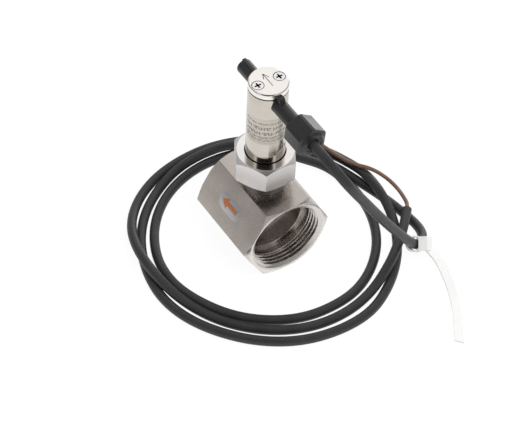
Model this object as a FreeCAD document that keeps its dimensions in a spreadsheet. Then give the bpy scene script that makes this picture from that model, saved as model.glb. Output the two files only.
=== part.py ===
import FreeCAD, Part
import math
import os
import re
import Sketcher

# Paddle flow switch: a hexagonal pipe body with a switch head screwed on top of it.
# Millimetres. +Z is up, +Y is the flow direction, and the origin is the middle of the
# body's bottom flat, on which the switch stands.

doc = FreeCAD.newDocument("paddle_flow_switch")

# Driving dimensions: name, value, meaning
SIZES = (
    ("body_af", 46.0, "pipe body, width across flats"),
    ("body_length", 50.0, "pipe body, end to end"),
    ("body_face_dia", 47.0, "diameter of the turned end faces"),
    ("hex_chamfer", 30.0, "angle of the turned hexagon corners, degrees"),
    ("thread_major", 41.91, "pipe thread, root diameter"),
    ("thread_minor", 38.95, "pipe thread, crest diameter"),
    ("thread_pitch", 2.309, "pipe thread, pitch"),
    ("thread_flank", 0.45, "half width of a thread groove, in pitches"),
    ("thread_turns", 3, "pipe thread, number of grooves in each socket"),
    ("thread_depth", 14.2, "depth of each threaded socket"),
    ("entry_dia", 44.8, "thread entry chamfer, outer diameter"),
    ("inner_bore", 35.0, "bore between the two sockets"),
    ("port_dia", 16.0, "bore from the pipe up into the head"),
    ("nipple_wall", 2.25, "welded nipple, wall around the port"),
    ("nipple_step", 0.5, "how much smaller than the nipple the gasket is"),
    ("weld_leg", 1.6, "leg of the weld around the nipple"),
    ("gasket_thick", 0.4, "flat gasket, thickness"),
    ("neck_af", 31.0, "neck hexagon, width across flats"),
    ("neck_height", 14.9, "neck hexagon, height"),
    ("neck_lift", 7.7, "neck hexagon, height of its underside above the body"),
    ("neck_socket", 6.55, "neck hexagon, depth of the socket that holds the housing"),
    ("neck_face_dia", 30.0, "neck hexagon, diameter of its turned ends"),
    ("neck_gap", 0.15, "gap between the neck hexagon and the nipple"),
    ("housing_dia", 21.0, "sensor housing, outer diameter"),
    ("housing_bore", 16.5, "sensor housing, bore for the rocker"),
    ("housing_height", 52.8, "sensor housing, overall height"),
    ("barrier", 2.9, "closed wall between the rocker bore and the reed tube"),
    ("cap_gap", 0.4, "clamping gap under the cap"),
    ("cap_thick", 3.4, "clamp cap, thickness"),
    ("cap_bevel", 0.7, "bevel around the top of the cap"),
    ("screw_spacing", 12.8, "distance between the cap screws"),
    ("screw_dia", 3.0, "cap screw, shank diameter"),
    ("screw_head", 6.0, "cap screw, head diameter"),
    ("screw_land", 0.25, "cap screw, straight rim of the head"),
    ("screw_length", 10.5, "cap screw, overall length"),
    ("screw_gap", 0.08, "clearance around the cap screws"),
    ("recess_width", 0.8, "cross recess, width of a slot"),
    ("recess_span", 3.3, "cross recess, length of a slot"),
    ("recess_depth", 1.1, "cross recess, depth"),
    ("mark_depth", 0.15, "depth of the arrow engraved in the cap"),
    ("mark_width", 0.45, "line width of the engraved arrow"),
    ("mark_length", 9.6, "length of the engraved arrow"),
    ("mark_shift", 0.8, "middle of the engraved arrow along the flow"),
    ("mark_barb", 3.8, "length of its barbs"),
    ("mark_angle", 25.0, "angle of its barbs to the shaft, degrees"),
    ("label_height", 18.0, "label, height"),
    ("label_drop", 14.0, "label, distance of its top edge below the housing top"),
    ("label_thick", 0.12, "label, thickness"),
    ("label_angle", 220.0, "label, angle that it covers, degrees"),
    ("label_turn", 235.0, "label, direction that its middle faces, degrees"),
    ("tube_dia", 8.3, "reed tube, outer diameter"),
    ("tube_bore", 5.2, "reed tube, bore"),
    ("tube_fit", 0.05, "radial clearance of the sliding tube"),
    ("tube_drop", 4.95, "tube axis below the housing top"),
    ("tube_back", 23.2, "reach of the tube behind the housing axis"),
    ("tube_front", 36.0, "reach of the tube in front of the housing axis"),
    ("tube_end_wall", 3.0, "closed end of the tube"),
    ("rib_width", 2.2, "guide rib along the tube, width"),
    ("rib_rise", 0.8, "guide rib, height above the tube"),
    ("key_width", 3.2, "stop key on the tube, width"),
    ("key_rise", 2.0, "stop key, height above the housing top"),
    ("key_front", 14.2, "stop key, reach in front of the housing axis"),
    ("key_length", 6.2, "stop key, length"),
    ("key_travel", 4.3, "room for the stop key to slide along the flow"),
    ("key_gap", 0.1, "clearance around the rib and the key"),
    ("gland_af", 16.0, "gland nut, width across flats"),
    ("gland_round", 17.6, "gland nut, diameter over its rounded corners"),
    ("gland_start", 27.1, "gland nut, distance of its back face from the housing axis"),
    ("gland_hex", 13.3, "gland nut, length of the hexagon"),
    ("gland_turn", 35.0, "gland nut, how far it is screwed round, degrees"),
    ("gland_nose", 1.3, "gland nut, length of the tapered nose"),
    ("gland_nose_root", 13.6, "gland nut, diameter of the nose at the hexagon"),
    ("gland_nose_dia", 11.6, "gland nut, end diameter of the nose"),
    ("gland_mouth", 6.4, "gland nut, diameter of the cable mouth"),
    ("gland_lip", 1.8, "gland nut, depth of the cable mouth"),
    ("seal_dia", 10.0, "cable seal, outer diameter"),
    ("cable_dia", 5.3, "cable, outer diameter"),
    ("cable_fit", 0.05, "radial clearance of the cable in its seal"),
    ("core_dia", 2.2, "stripped core, outer diameter"),
    ("reed_dia", 2.7, "reed capsule, diameter"),
    ("reed_length", 14.0, "reed capsule, length"),
    ("lead_dia", 0.6, "reed lead, diameter"),
    ("lead_length", 5.0, "reed lead, length outside the glass"),
    ("return_offset", 1.95, "return wire, distance below the capsule axis"),
    ("carrier_gap", 0.05, "clearance between the pieces inside the tube"),
    ("pivot_rise", 13.0, "paddle pivot above the lower end of the housing"),
    ("pin_dia", 2.5, "pivot pin, diameter"),
    ("pin_fit", 0.03, "running clearance of the pivot"),
    ("yoke_bore", 12.4, "pivot yoke, bore"),
    ("yoke_height", 10.0, "pivot yoke, height"),
    ("yoke_gap", 0.02, "clearance of pieces pressed into the housing"),
    ("hub_dia", 7.0, "rocker hub, diameter"),
    ("hub_width", 6.0, "rocker hub, width"),
    ("spacer_dia", 4.5, "pivot spacer, outer diameter"),
    ("bush_wall", 0.9, "pivot bush, wall"),
    ("side_gap", 0.15, "side play between hub, spacers and yoke"),
    ("arm_width", 5.0, "lower arm, width"),
    ("arm_thick", 2.0, "lower arm, thickness"),
    ("paddle_width", 16.0, "paddle, width"),
    ("paddle_above", 13.0, "paddle, reach above the pipe axis"),
    ("paddle_below", 15.0, "paddle, reach below the pipe axis"),
    ("paddle_thick", 0.8, "paddle, thickness"),
    ("paddle_corner", 5.0, "paddle, cut of the lower corners"),
    ("arm_overlap", 10.0, "overlap of the arm and the paddle"),
    ("rivet_dia", 2.0, "paddle rivet, diameter"),
    ("rivet_head", 3.4, "paddle rivet, head diameter"),
    ("rivet_head_thick", 0.7, "paddle rivet, head thickness"),
    ("rivet_pitch", 4.6, "distance between the paddle rivets"),
    ("stem_dia", 3.0, "upper arm, diameter"),
    ("magnet_dia", 5.0, "rocker magnet, diameter"),
    ("magnet_height", 6.0, "rocker magnet, height"),
    ("cup_wall", 0.9, "magnet cup, wall"),
    ("cup_height", 8.0, "magnet cup, height"),
    ("cup_top_gap", 1.9, "magnet cup, distance below the magnet holder"),
    ("stop_width", 3.0, "rest stop on the magnet cup, width"),
    ("stop_gap", 0.25, "distance of the rest stop from the housing bore"),
    ("holder_thick", 1.9, "return magnet holder, thickness"),
    ("return_dia", 4.0, "return magnet, diameter"),
    ("return_thick", 1.4, "return magnet, thickness"),
    ("return_shift", 5.2, "return magnet, distance from the housing axis"),
    ("film_length", 22.0, "clear film under the flow arrow, length"),
    ("film_width", 15.0, "clear film under the flow arrow, width"),
    ("film_thick", 0.06, "clear film under the flow arrow, thickness"),
    ("arrow_length", 13.4, "flow arrow, length"),
    ("arrow_head", 5.2, "flow arrow, length of its head"),
    ("arrow_width", 6.6, "flow arrow, width of its head"),
    ("arrow_shaft", 2.4, "flow arrow, width of its shaft"),
    ("arrow_thick", 0.06, "flow arrow, thickness of the print"),
    ("arrow_shift", 1.7, "flow arrow, its middle along the flow"),
    ("tie_inner_dia", 6.8, "cable tie, inside of its loop"),
    ("tie_thick", 1.1, "cable tie, strap thickness"),
    ("tie_width", 4.8, "cable tie, strap width"),
    ("tie_head", 7.6, "cable tie, width of its lock"),
    ("tie_head_thick", 5.0, "cable tie, thickness of its lock"),
)

# Heights and places that follow from the driving dimensions
LEVELS = (
    ("axis_z", "body_af / 2"),
    ("nipple_dia", "port_dia + 2 * nipple_wall"),
    ("gasket_dia", "nipple_dia - nipple_step"),
    ("neck_z", "body_af + neck_lift"),
    ("neck_top", "neck_z + neck_height"),
    ("housing_z", "neck_top - neck_socket"),
    ("nipple_top", "housing_z - gasket_thick"),
    ("housing_top", "housing_z + housing_height"),
    ("cap_z", "housing_top + cap_gap"),
    ("cap_top", "cap_z + cap_thick"),
    ("tube_z", "housing_top - tube_drop"),
    ("bore_top", "tube_z - tube_dia / 2 - tube_fit - barrier"),
    ("pivot_z", "housing_z + pivot_rise"),
    ("cup_z", "bore_top - holder_thick - cup_top_gap - cup_height"),
    ("paddle_top", "axis_z + paddle_above"),
    ("arm_z", "paddle_top - arm_overlap"),
    ("seal_y", "gland_start + gland_hex + gland_nose - gland_lip"),
)

# Angle between neighbouring flats of a hexagon, degrees
FLAT_TURN = 60
# Length of the slots in which the stop key slides, from the front of the housing
KEY_ROOM = "housing_dia / 2 - key_front + key_length + key_travel"

SIZE_NAMES = [name for name, number, meaning in SIZES]
LEVEL_NAMES = [name for name, formula in LEVELS]


def qualified(text):
    """Write each size in a formula as a cell of its sheet."""
    def cell(match):
        word = match.group(0)
        if word in SIZE_NAMES:
            return "dims." + word
        if word in LEVEL_NAMES:
            return "levels." + word
        return word
    return re.sub(r"[a-z_]+", cell, text)


def make_sheets():
    """Fill the sheet of driving dimensions and the sheet of heights."""
    dims = doc.addObject("Spreadsheet::Sheet", "dims")
    for row, (name, number, meaning) in enumerate(SIZES, 1):
        dims.set("A%d" % row, meaning)
        dims.set("B%d" % row, str(number))
        dims.setAlias("B%d" % row, name)
    doc.recompute()
    levels = doc.addObject("Spreadsheet::Sheet", "levels")
    for row, (name, formula) in enumerate(LEVELS, 1):
        levels.setAlias("B%d" % row, name)
    for row, (name, formula) in enumerate(LEVELS, 1):
        levels.set("B%d" % row, "=" + qualified(formula).replace("levels.", ""))
    doc.recompute()
    return dims, levels


dims, levels = make_sheets()
nodes = []


def value(name):
    """Read one size or height as a number."""
    sheet = dims if name in SIZE_NAMES else levels
    return float(getattr(sheet, name))


ROTATIONS = {
    "X": FreeCAD.Rotation(FreeCAD.Vector(0, 1, 0), 90),
    "Y": FreeCAD.Rotation(FreeCAD.Vector(1, 0, 0), -90),
    "Z": FreeCAD.Rotation(),
}


def place(obj, at, rotation):
    """Turn an object and bind its position to formulas."""
    obj.Placement = FreeCAD.Placement(FreeCAD.Vector(), rotation)
    for axis, formula in zip("xyz", at):
        obj.setExpression("Placement.Base." + axis, qualified(formula))
    return obj


def turn_about_z(obj, degrees):
    """Turn an object about its own vertical by a formula in degrees."""
    obj.Placement.Rotation = FreeCAD.Rotation(FreeCAD.Vector(0, 0, 1), 1)
    obj.setExpression("Placement.Rotation.Angle", qualified("(%s) * 1deg" % degrees))
    return obj


def primitive(kind, label, at, rotation, **formulas):
    """Add a solid primitive whose sizes are bound to formulas."""
    obj = doc.addObject(kind, label)
    for name, formula in formulas.items():
        obj.setExpression(name, qualified(formula))
    return place(obj, at, rotation)


def cylinder(label, radius, height, at=("0", "0", "0"), axis="Z"):
    return primitive("Part::Cylinder", label, at, ROTATIONS[axis], Radius=radius, Height=height)


def cone(label, radius, end_radius, height, at=("0", "0", "0"), axis="Z"):
    sizes = {"Radius1": radius, "Radius2": end_radius, "Height": height}
    return primitive("Part::Cone", label, at, ROTATIONS[axis], **sizes)


def block(label, size, at, rotation=ROTATIONS["Z"]):
    """Add a box with its lowest corner at a point."""
    length, width, height = size
    return primitive("Part::Box", label, at, rotation, Length=length, Width=width, Height=height)


def hexagon(label, flats, height, at, axis="Z", turn=0):
    """Add a hexagonal bar with two corners along X, until it is turned about its own axis."""
    rotation = ROTATIONS[axis].multiply(FreeCAD.Rotation(FreeCAD.Vector(0, 0, 1), turn))
    radius = "(%s) / sqrt(3)" % flats
    bar = primitive("Part::Prism", label, at, rotation, Circumradius=radius, Height=height)
    bar.Polygon = 6
    return bar


def fuse(label, *shapes):
    obj = doc.addObject("Part::MultiFuse", label)
    obj.Shapes = list(shapes)
    return obj


def cut(label, base, *tools):
    obj = doc.addObject("Part::Cut", label)
    obj.Base = base
    obj.Tool = tools[0] if len(tools) == 1 else fuse(label + "_tools", *tools)
    return obj


def common(label, first, second):
    obj = doc.addObject("Part::Common", label)
    obj.Base = first
    obj.Tool = second
    return obj


def ring(label, outer, inner, height, at, axis="Z"):
    """Add a plain ring from two radii."""
    return cut(label, cylinder(label + "_outside", outer, height, at, axis),
               cylinder(label + "_hole", inner, height, at, axis))


def group(label, *shapes):
    """Hold separate solids of one kind together in one sub-part."""
    obj = doc.addObject("Part::Compound", label)
    obj.Links = list(shapes)
    return obj


def node(name, obj):
    """Name a finished sub-part, which is written to a file of that name."""
    obj.Label = name
    nodes.append(obj)
    return obj


def polygon_pad(label, points, thickness, rotation, at):
    """Pad a closed polygon whose corners are given as pairs of formulas."""
    body = doc.addObject("PartDesign::Body", label + "_body")
    sketch = body.newObject("Sketcher::SketchObject", label + "_sketch")
    plane = [item for item in body.Origin.OriginFeatures if item.Role == "XY_Plane"][0]
    sketch.AttachmentSupport = [(plane, "")]
    sketch.MapMode = "FlatFace"
    numbers = [[doc.dims.evalExpression(qualified(part)) for part in point] for point in points]
    corners = [FreeCAD.Vector(float(x), float(y), 0) for x, y in numbers]
    for index, corner in enumerate(corners):
        sketch.addGeometry(Part.LineSegment(corner, corners[(index + 1) % len(corners)]))
    for index in range(len(corners)):
        sketch.addConstraint(Sketcher.Constraint("Coincident", index, 2, (index + 1) % len(corners), 1))
    for index, (point, corner) in enumerate(zip(points, corners)):
        for kind, formula, number in (("DistanceX", point[0], corner.x), ("DistanceY", point[1], corner.y)):
            row = sketch.addConstraint(Sketcher.Constraint(kind, -1, 1, index, 1, number))
            sketch.setExpression("Constraints[%d]" % row, qualified(formula))
    pad = body.newObject("PartDesign::Pad", label + "_pad")
    pad.Profile = sketch
    pad.setExpression("Length", qualified(thickness))
    return place(body, at, rotation)


def make_pipe_body():
    """Hexagonal bar with turned ends, a threaded socket at each end and a port on top."""
    face = "body_face_dia / 2"
    widest = "body_face_dia / 2 + body_length / 2 / tan(hex_chamfer * 1deg)"
    front = ("0", "-body_length / 2", "axis_z")
    bar = hexagon("body_bar", "body_af", "body_length", front, "Y")
    turned = fuse(
        "body_turned",
        cone("body_front_bevel", face, widest, "body_length / 2", front, "Y"),
        cone("body_back_bevel", widest, face, "body_length / 2", ("0", "0", "axis_z"), "Y"))
    entry = "(entry_dia - thread_minor) / 2"
    cuts = [
        cylinder("body_bore", "inner_bore / 2", "body_length", front, "Y"),
        cylinder("body_port", "port_dia / 2", "axis_z", ("0", "0", "axis_z")),
        cylinder("front_socket", "thread_minor / 2", "thread_depth", front, "Y"),
        cylinder("back_socket", "thread_minor / 2", "thread_depth",
                 ("0", "body_length / 2 - thread_depth", "axis_z"), "Y"),
        cone("front_entry", "entry_dia / 2", "thread_minor / 2", entry, front, "Y"),
        cone("back_entry", "thread_minor / 2", "entry_dia / 2", entry,
             ("0", "body_length / 2 - " + entry, "axis_z"), "Y"),
    ]
    flank = "thread_flank * thread_pitch"
    for side, sign in (("front", "-"), ("back", "")):
        for turn in range(int(value("thread_turns"))):
            middle = "%s(body_length / 2 - %s - (%d + 0.5) * thread_pitch)" % (sign, entry, turn)
            groove = "%s_groove_%d" % (side, turn)
            cuts.append(cone(groove, "thread_minor / 2", "thread_major / 2", flank,
                             ("0", "%s - %s" % (middle, flank), "axis_z"), "Y"))
            cuts.append(cone(groove + "_back", "thread_major / 2", "thread_minor / 2", flank,
                             ("0", middle, "axis_z"), "Y"))
    node("pipe_body", cut("pipe_body", common("body_blank", bar, turned), *cuts))


def make_flow_mark():
    """Clear film with a printed arrow on the flat of the body that faces up and to the left."""
    tilt = FreeCAD.Rotation(FreeCAD.Vector(0, 1, 0), -FLAT_TURN)

    def on_flat(lift):
        rise = "(body_af / 2 + %s)" % lift
        return ("-%s * sin(%ddeg)" % (rise, FLAT_TURN), "arrow_shift",
                "axis_z + %s * cos(%ddeg)" % (rise, FLAT_TURN))

    film = [("-film_width / 2", "-film_length / 2"), ("film_width / 2", "-film_length / 2"),
            ("film_width / 2", "film_length / 2"), ("-film_width / 2", "film_length / 2")]
    node("arrow_film", polygon_pad("arrow_film", film, "film_thick", tilt, on_flat("0")))
    shoulder = "arrow_length / 2 - arrow_head"
    arrow = [("0", "arrow_length / 2"), ("-arrow_width / 2", shoulder), ("-arrow_shaft / 2", shoulder),
             ("-arrow_shaft / 2", "-arrow_length / 2"), ("arrow_shaft / 2", "-arrow_length / 2"),
             ("arrow_shaft / 2", shoulder), ("arrow_width / 2", shoulder)]
    node("flow_arrow", polygon_pad("flow_arrow", arrow, "arrow_thick", tilt, on_flat("film_thick")))


def make_neck():
    """Welded nipple, gasket and the hexagon that carries the housing and screws onto the nipple."""
    node("neck_nipple", ring("neck_nipple", "nipple_dia / 2", "port_dia / 2", "nipple_top - body_af",
                             ("0", "0", "body_af")))
    foot = ("0", "0", "body_af")
    bead = cone("bead_outside", "nipple_dia / 2 + weld_leg", "nipple_dia / 2", "weld_leg", foot)
    bead_hole = cylinder("bead_hole", "nipple_dia / 2", "weld_leg", foot)
    node("weld_bead", cut("weld_bead", bead, bead_hole))
    node("neck_gasket", ring("neck_gasket", "gasket_dia / 2", "port_dia / 2", "gasket_thick",
                             ("0", "0", "nipple_top")))
    corner = "neck_af / sqrt(3)"
    bevel = "(%s - neck_face_dia / 2) * tan(hex_chamfer * 1deg)" % corner
    bar = hexagon("neck_bar", "neck_af", "neck_height", ("0", "0", "neck_z"))
    turned = fuse(
        "neck_turned",
        cone("neck_low_bevel", "neck_face_dia / 2", corner, bevel, ("0", "0", "neck_z")),
        cylinder("neck_middle", corner, "neck_height - 2 * " + bevel, ("0", "0", "neck_z + " + bevel)),
        cone("neck_top_bevel", corner, "neck_face_dia / 2", bevel, ("0", "0", "neck_top - " + bevel)))
    node("neck_hexagon", cut(
        "neck_hexagon", common("neck_blank", bar, turned),
        cylinder("neck_thread", "nipple_dia / 2 + neck_gap", "neck_height - neck_socket",
                 ("0", "0", "neck_z")),
        cylinder("neck_seat", "housing_dia / 2", "neck_socket", ("0", "0", "housing_z"))))


def make_housing():
    """Closed sensor housing: rocker bore below, cross bore with slots for the reed tube above."""
    outside = cylinder("housing_barrel", "housing_dia / 2", "housing_height", ("0", "0", "housing_z"))
    cuts = [
        cylinder("rocker_bore", "housing_bore / 2", "bore_top - housing_z", ("0", "0", "housing_z")),
        cylinder("cross_bore", "tube_dia / 2 + tube_fit", "housing_dia",
                 ("0", "-housing_dia / 2", "tube_z"), "Y"),
        block("rib_slot", ("rib_width + 2 * key_gap", "housing_dia", "tube_drop"),
              ("-rib_width / 2 - key_gap", "-housing_dia / 2", "tube_z")),
        block("key_slot", ("key_width + 2 * key_gap", KEY_ROOM, "tube_drop"),
              ("-key_width / 2 - key_gap", "-housing_dia / 2", "tube_z")),
    ]
    tip_room = "screw_dia / 2"
    for name, side in (("left", "-"), ("right", "")):
        cuts.append(cylinder(name + "_tapping", "screw_dia / 2 + screw_gap",
                             "screw_length - cap_thick - cap_gap + " + tip_room,
                             (side + "screw_spacing / 2", "0", "cap_top - screw_length - " + tip_room)))
    node("sensor_housing", cut("sensor_housing", outside, *cuts))
    shell = ring("label_shell", "housing_dia / 2 + label_thick", "housing_dia / 2", "label_height",
                 ("0", "0", "housing_top - label_drop - label_height"))
    for part in (shell.Base, shell.Tool):
        part.setExpression("Angle", qualified("label_angle"))
        turn_about_z(part, "label_turn - label_angle / 2")
    node("housing_label", shell)


def make_cap():
    """Clamp cap with an engraved arrow, and its two countersunk screws."""
    blank = fuse("cap_blank",
                 cylinder("cap_disc", "housing_dia / 2", "cap_thick - cap_bevel", ("0", "0", "cap_z")),
                 cone("cap_edge", "housing_dia / 2", "housing_dia / 2 - cap_bevel", "cap_bevel",
                      ("0", "0", "cap_top - cap_bevel")))
    cuts = [block("cap_slot", ("key_width + 2 * key_gap", KEY_ROOM, "key_rise + key_gap - cap_gap"),
                  ("-key_width / 2 - key_gap", "-housing_dia / 2", "cap_z"))]
    mark_z = "cap_top - mark_depth"
    cuts.append(block("mark_shaft", ("mark_width", "mark_length", "mark_depth"),
                      ("-mark_width / 2", "mark_shift - mark_length / 2", mark_z)))
    for name, turn in (("left", "180 - mark_angle"), ("right", "180 + mark_angle")):
        at = ("-mark_width / 2 * cos((%s) * 1deg)" % turn,
              "mark_shift + mark_length / 2 - mark_width / 2 * sin((%s) * 1deg)" % turn, mark_z)
        cuts.append(turn_about_z(block(name + "_barb", ("mark_width", "mark_barb", "mark_depth"), at), turn))
    screws = []
    head = "(screw_head - screw_dia) / 2"
    rim_z = "cap_top - screw_land"
    cone_z = "cap_top - screw_land - " + head
    for name, side in (("left", "-"), ("right", "")):
        x = side + "screw_spacing / 2"
        cuts.append(cylinder(name + "_hole", "screw_dia / 2 + screw_gap", "cap_thick", (x, "0", "cap_z")))
        cuts.append(cone(name + "_sink", "screw_dia / 2 + screw_gap", "screw_head / 2 + screw_gap", head,
                         (x, "0", cone_z)))
        cuts.append(cylinder(name + "_rim", "screw_head / 2 + screw_gap", "screw_land", (x, "0", rim_z)))
        solid = fuse(name + "_screw_solid",
                     cylinder(name + "_shank", "screw_dia / 2", "screw_length - screw_land",
                              (x, "0", "cap_top - screw_length")),
                     cone(name + "_head", "screw_dia / 2", "screw_head / 2", head, (x, "0", cone_z)),
                     cylinder(name + "_land", "screw_head / 2", "screw_land", (x, "0", rim_z)))
        recess = []
        for length, width in (("recess_span", "recess_width"), ("recess_width", "recess_span")):
            recess.append(block(name + "_slot", (length, width, "recess_depth"),
                                ("%s - %s / 2" % (x, length), "-%s / 2" % width, "cap_top - recess_depth")))
        screws.append(cut(name + "_screw", solid, *recess))
    node("clamp_cap", cut("clamp_cap", blank, *cuts))
    node("cap_screws", group("cap_screws", *screws))


def make_reed_tube():
    """Sliding plastic tube with its guide rib and stop key, and the reed switch inside it."""
    length = "tube_front + tube_back"
    start = ("0", "-tube_front", "tube_z")
    rib = block("guide_rib", ("rib_width", "key_front + tube_back", "tube_dia / 2 + rib_rise"),
                ("-rib_width / 2", "-key_front", "tube_z"))
    key = block("stop_key", ("key_width", "key_length", "tube_drop + key_rise"),
                ("-key_width / 2", "-key_front", "tube_z"))
    shell = fuse("tube_outside", cylinder("tube_barrel", "tube_dia / 2", length, start, "Y"), rib, key)
    hole = cylinder("tube_hole", "tube_bore / 2", length + " - tube_end_wall", start, "Y")
    node("reed_tube", cut("reed_tube", shell, hole))
    inside = "tube_bore / 2 - carrier_gap"
    half = "reed_length / 2 + lead_length"
    back = "tube_back - tube_end_wall"
    end = ("0", "-(%s)" % half, "tube_z")
    lower_end = ("0", "-(%s)" % half, "tube_z - return_offset")
    carrier_length = "%s + %s" % (half, back)
    carrier = cylinder("carrier_rod", inside, carrier_length, end, "Y")
    capsule_hole = cylinder("capsule_hole", "reed_dia / 2 + carrier_gap", carrier_length, end, "Y")
    return_hole = cylinder("return_hole", "lead_dia / 2 + carrier_gap", carrier_length, lower_end, "Y")
    slot_y = "%s - lead_dia / 2 - carrier_gap" % half
    slot_size = ("lead_dia + 2 * carrier_gap", "%s - (%s)" % (back, slot_y), "return_offset")
    turn_slot = block("turn_slot", slot_size,
                      ("-lead_dia / 2 - carrier_gap", slot_y, "tube_z - return_offset"))
    node("reed_carrier", cut("reed_carrier", carrier, capsule_hole, return_hole, turn_slot))
    node("reed_capsule", cylinder("reed_capsule", "reed_dia / 2", "reed_length",
                                  ("0", "-reed_length / 2", "tube_z"), "Y"))
    front_lead = cylinder("front_lead", "lead_dia / 2", "lead_length", end, "Y")
    back_lead = fuse("back_lead",
                     cylinder("back_stub", "lead_dia / 2", "lead_length",
                              ("0", "reed_length / 2", "tube_z"), "Y"),
                     cylinder("back_turn", "lead_dia / 2", "return_offset",
                              ("0", half, "tube_z - return_offset")),
                     cylinder("back_run", "lead_dia / 2", "2 * (%s)" % half, lower_end, "Y"))
    node("reed_leads", group("reed_leads", front_lead, back_lead))
    plug_length = "tube_front - (%s)" % half
    wires = []
    wire_holes = []
    for name, z in (("centre", "tube_z"), ("lower", "tube_z - return_offset")):
        at = ("0", "-tube_front", z)
        wires.append(cylinder(name + "_wire", "lead_dia / 2", plug_length, at, "Y"))
        wire_holes.append(cylinder(name + "_wire_hole", "lead_dia / 2 + carrier_gap", plug_length, at, "Y"))
    plug = cylinder("potting_rod", inside, plug_length, start, "Y")
    node("potting_plug", cut("potting_plug", plug, *wire_holes))
    node("connection_wires", group("connection_wires", *wires))


def make_gland():
    """Gland nut on the end of the tube, with the seal that grips the cable."""
    front = "-(gland_start + gland_hex)"
    bar = hexagon("gland_bar", "gland_af", "gland_hex", ("0", front, "tube_z"), "Y", value("gland_turn"))
    turned = cylinder("gland_turned", "gland_round / 2", "gland_hex", ("0", front, "tube_z"), "Y")
    nose = cone("gland_taper", "gland_nose_dia / 2", "gland_nose_root / 2", "gland_nose",
                ("0", front + " - gland_nose", "tube_z"), "Y")
    blank = fuse("gland_blank", common("gland_hexagon", bar, turned), nose)
    node("gland_nut", cut(
        "gland_nut", blank,
        cylinder("gland_socket", "tube_dia / 2 + carrier_gap", "tube_front - gland_start",
                 ("0", "-tube_front", "tube_z"), "Y"),
        cylinder("gland_chamber", "seal_dia / 2 + carrier_gap", "seal_y - tube_front",
                 ("0", "-seal_y", "tube_z"), "Y"),
        cylinder("gland_throat", "gland_mouth / 2", "gland_lip",
                 ("0", "-seal_y - gland_lip", "tube_z"), "Y")))
    node("cable_seal", ring("cable_seal", "seal_dia / 2", "cable_dia / 2 + cable_fit", "seal_y - tube_front",
                            ("0", "-seal_y", "tube_z"), "Y"))


def make_pivot():
    """Yoke pressed into the housing, with the pivot pin and the spacers beside the hub."""
    low = "pivot_z - yoke_height / 2"
    sleeve = ring("yoke_sleeve", "housing_bore / 2 - yoke_gap", "yoke_bore / 2", "yoke_height",
                  ("0", "0", low))
    reach = "(sqrt((housing_bore / 2)^2 - (pin_dia / 2)^2) - yoke_gap)"
    hole = cylinder("yoke_hole", "pin_dia / 2 + yoke_gap", "housing_bore",
                    ("-housing_bore / 2", "0", "pivot_z"), "X")
    node("pivot_yoke", cut("pivot_yoke", sleeve, hole))
    node("pivot_pin", cylinder("pivot_pin", "pin_dia / 2", "2 * " + reach,
                               ("-" + reach, "0", "pivot_z"), "X"))
    wall = "sqrt((yoke_bore / 2)^2 - (spacer_dia / 2)^2)"
    thick = "(%s - hub_width / 2 - 2 * side_gap)" % wall
    spacers = []
    for name, x in (("left", "-hub_width / 2 - side_gap - " + thick), ("right", "hub_width / 2 + side_gap")):
        spacers.append(ring(name + "_spacer", "spacer_dia / 2", "pin_dia / 2 + pin_fit", thick,
                            (x, "0", "pivot_z"), "X"))
    node("pivot_spacers", group("pivot_spacers", *spacers))


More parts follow.
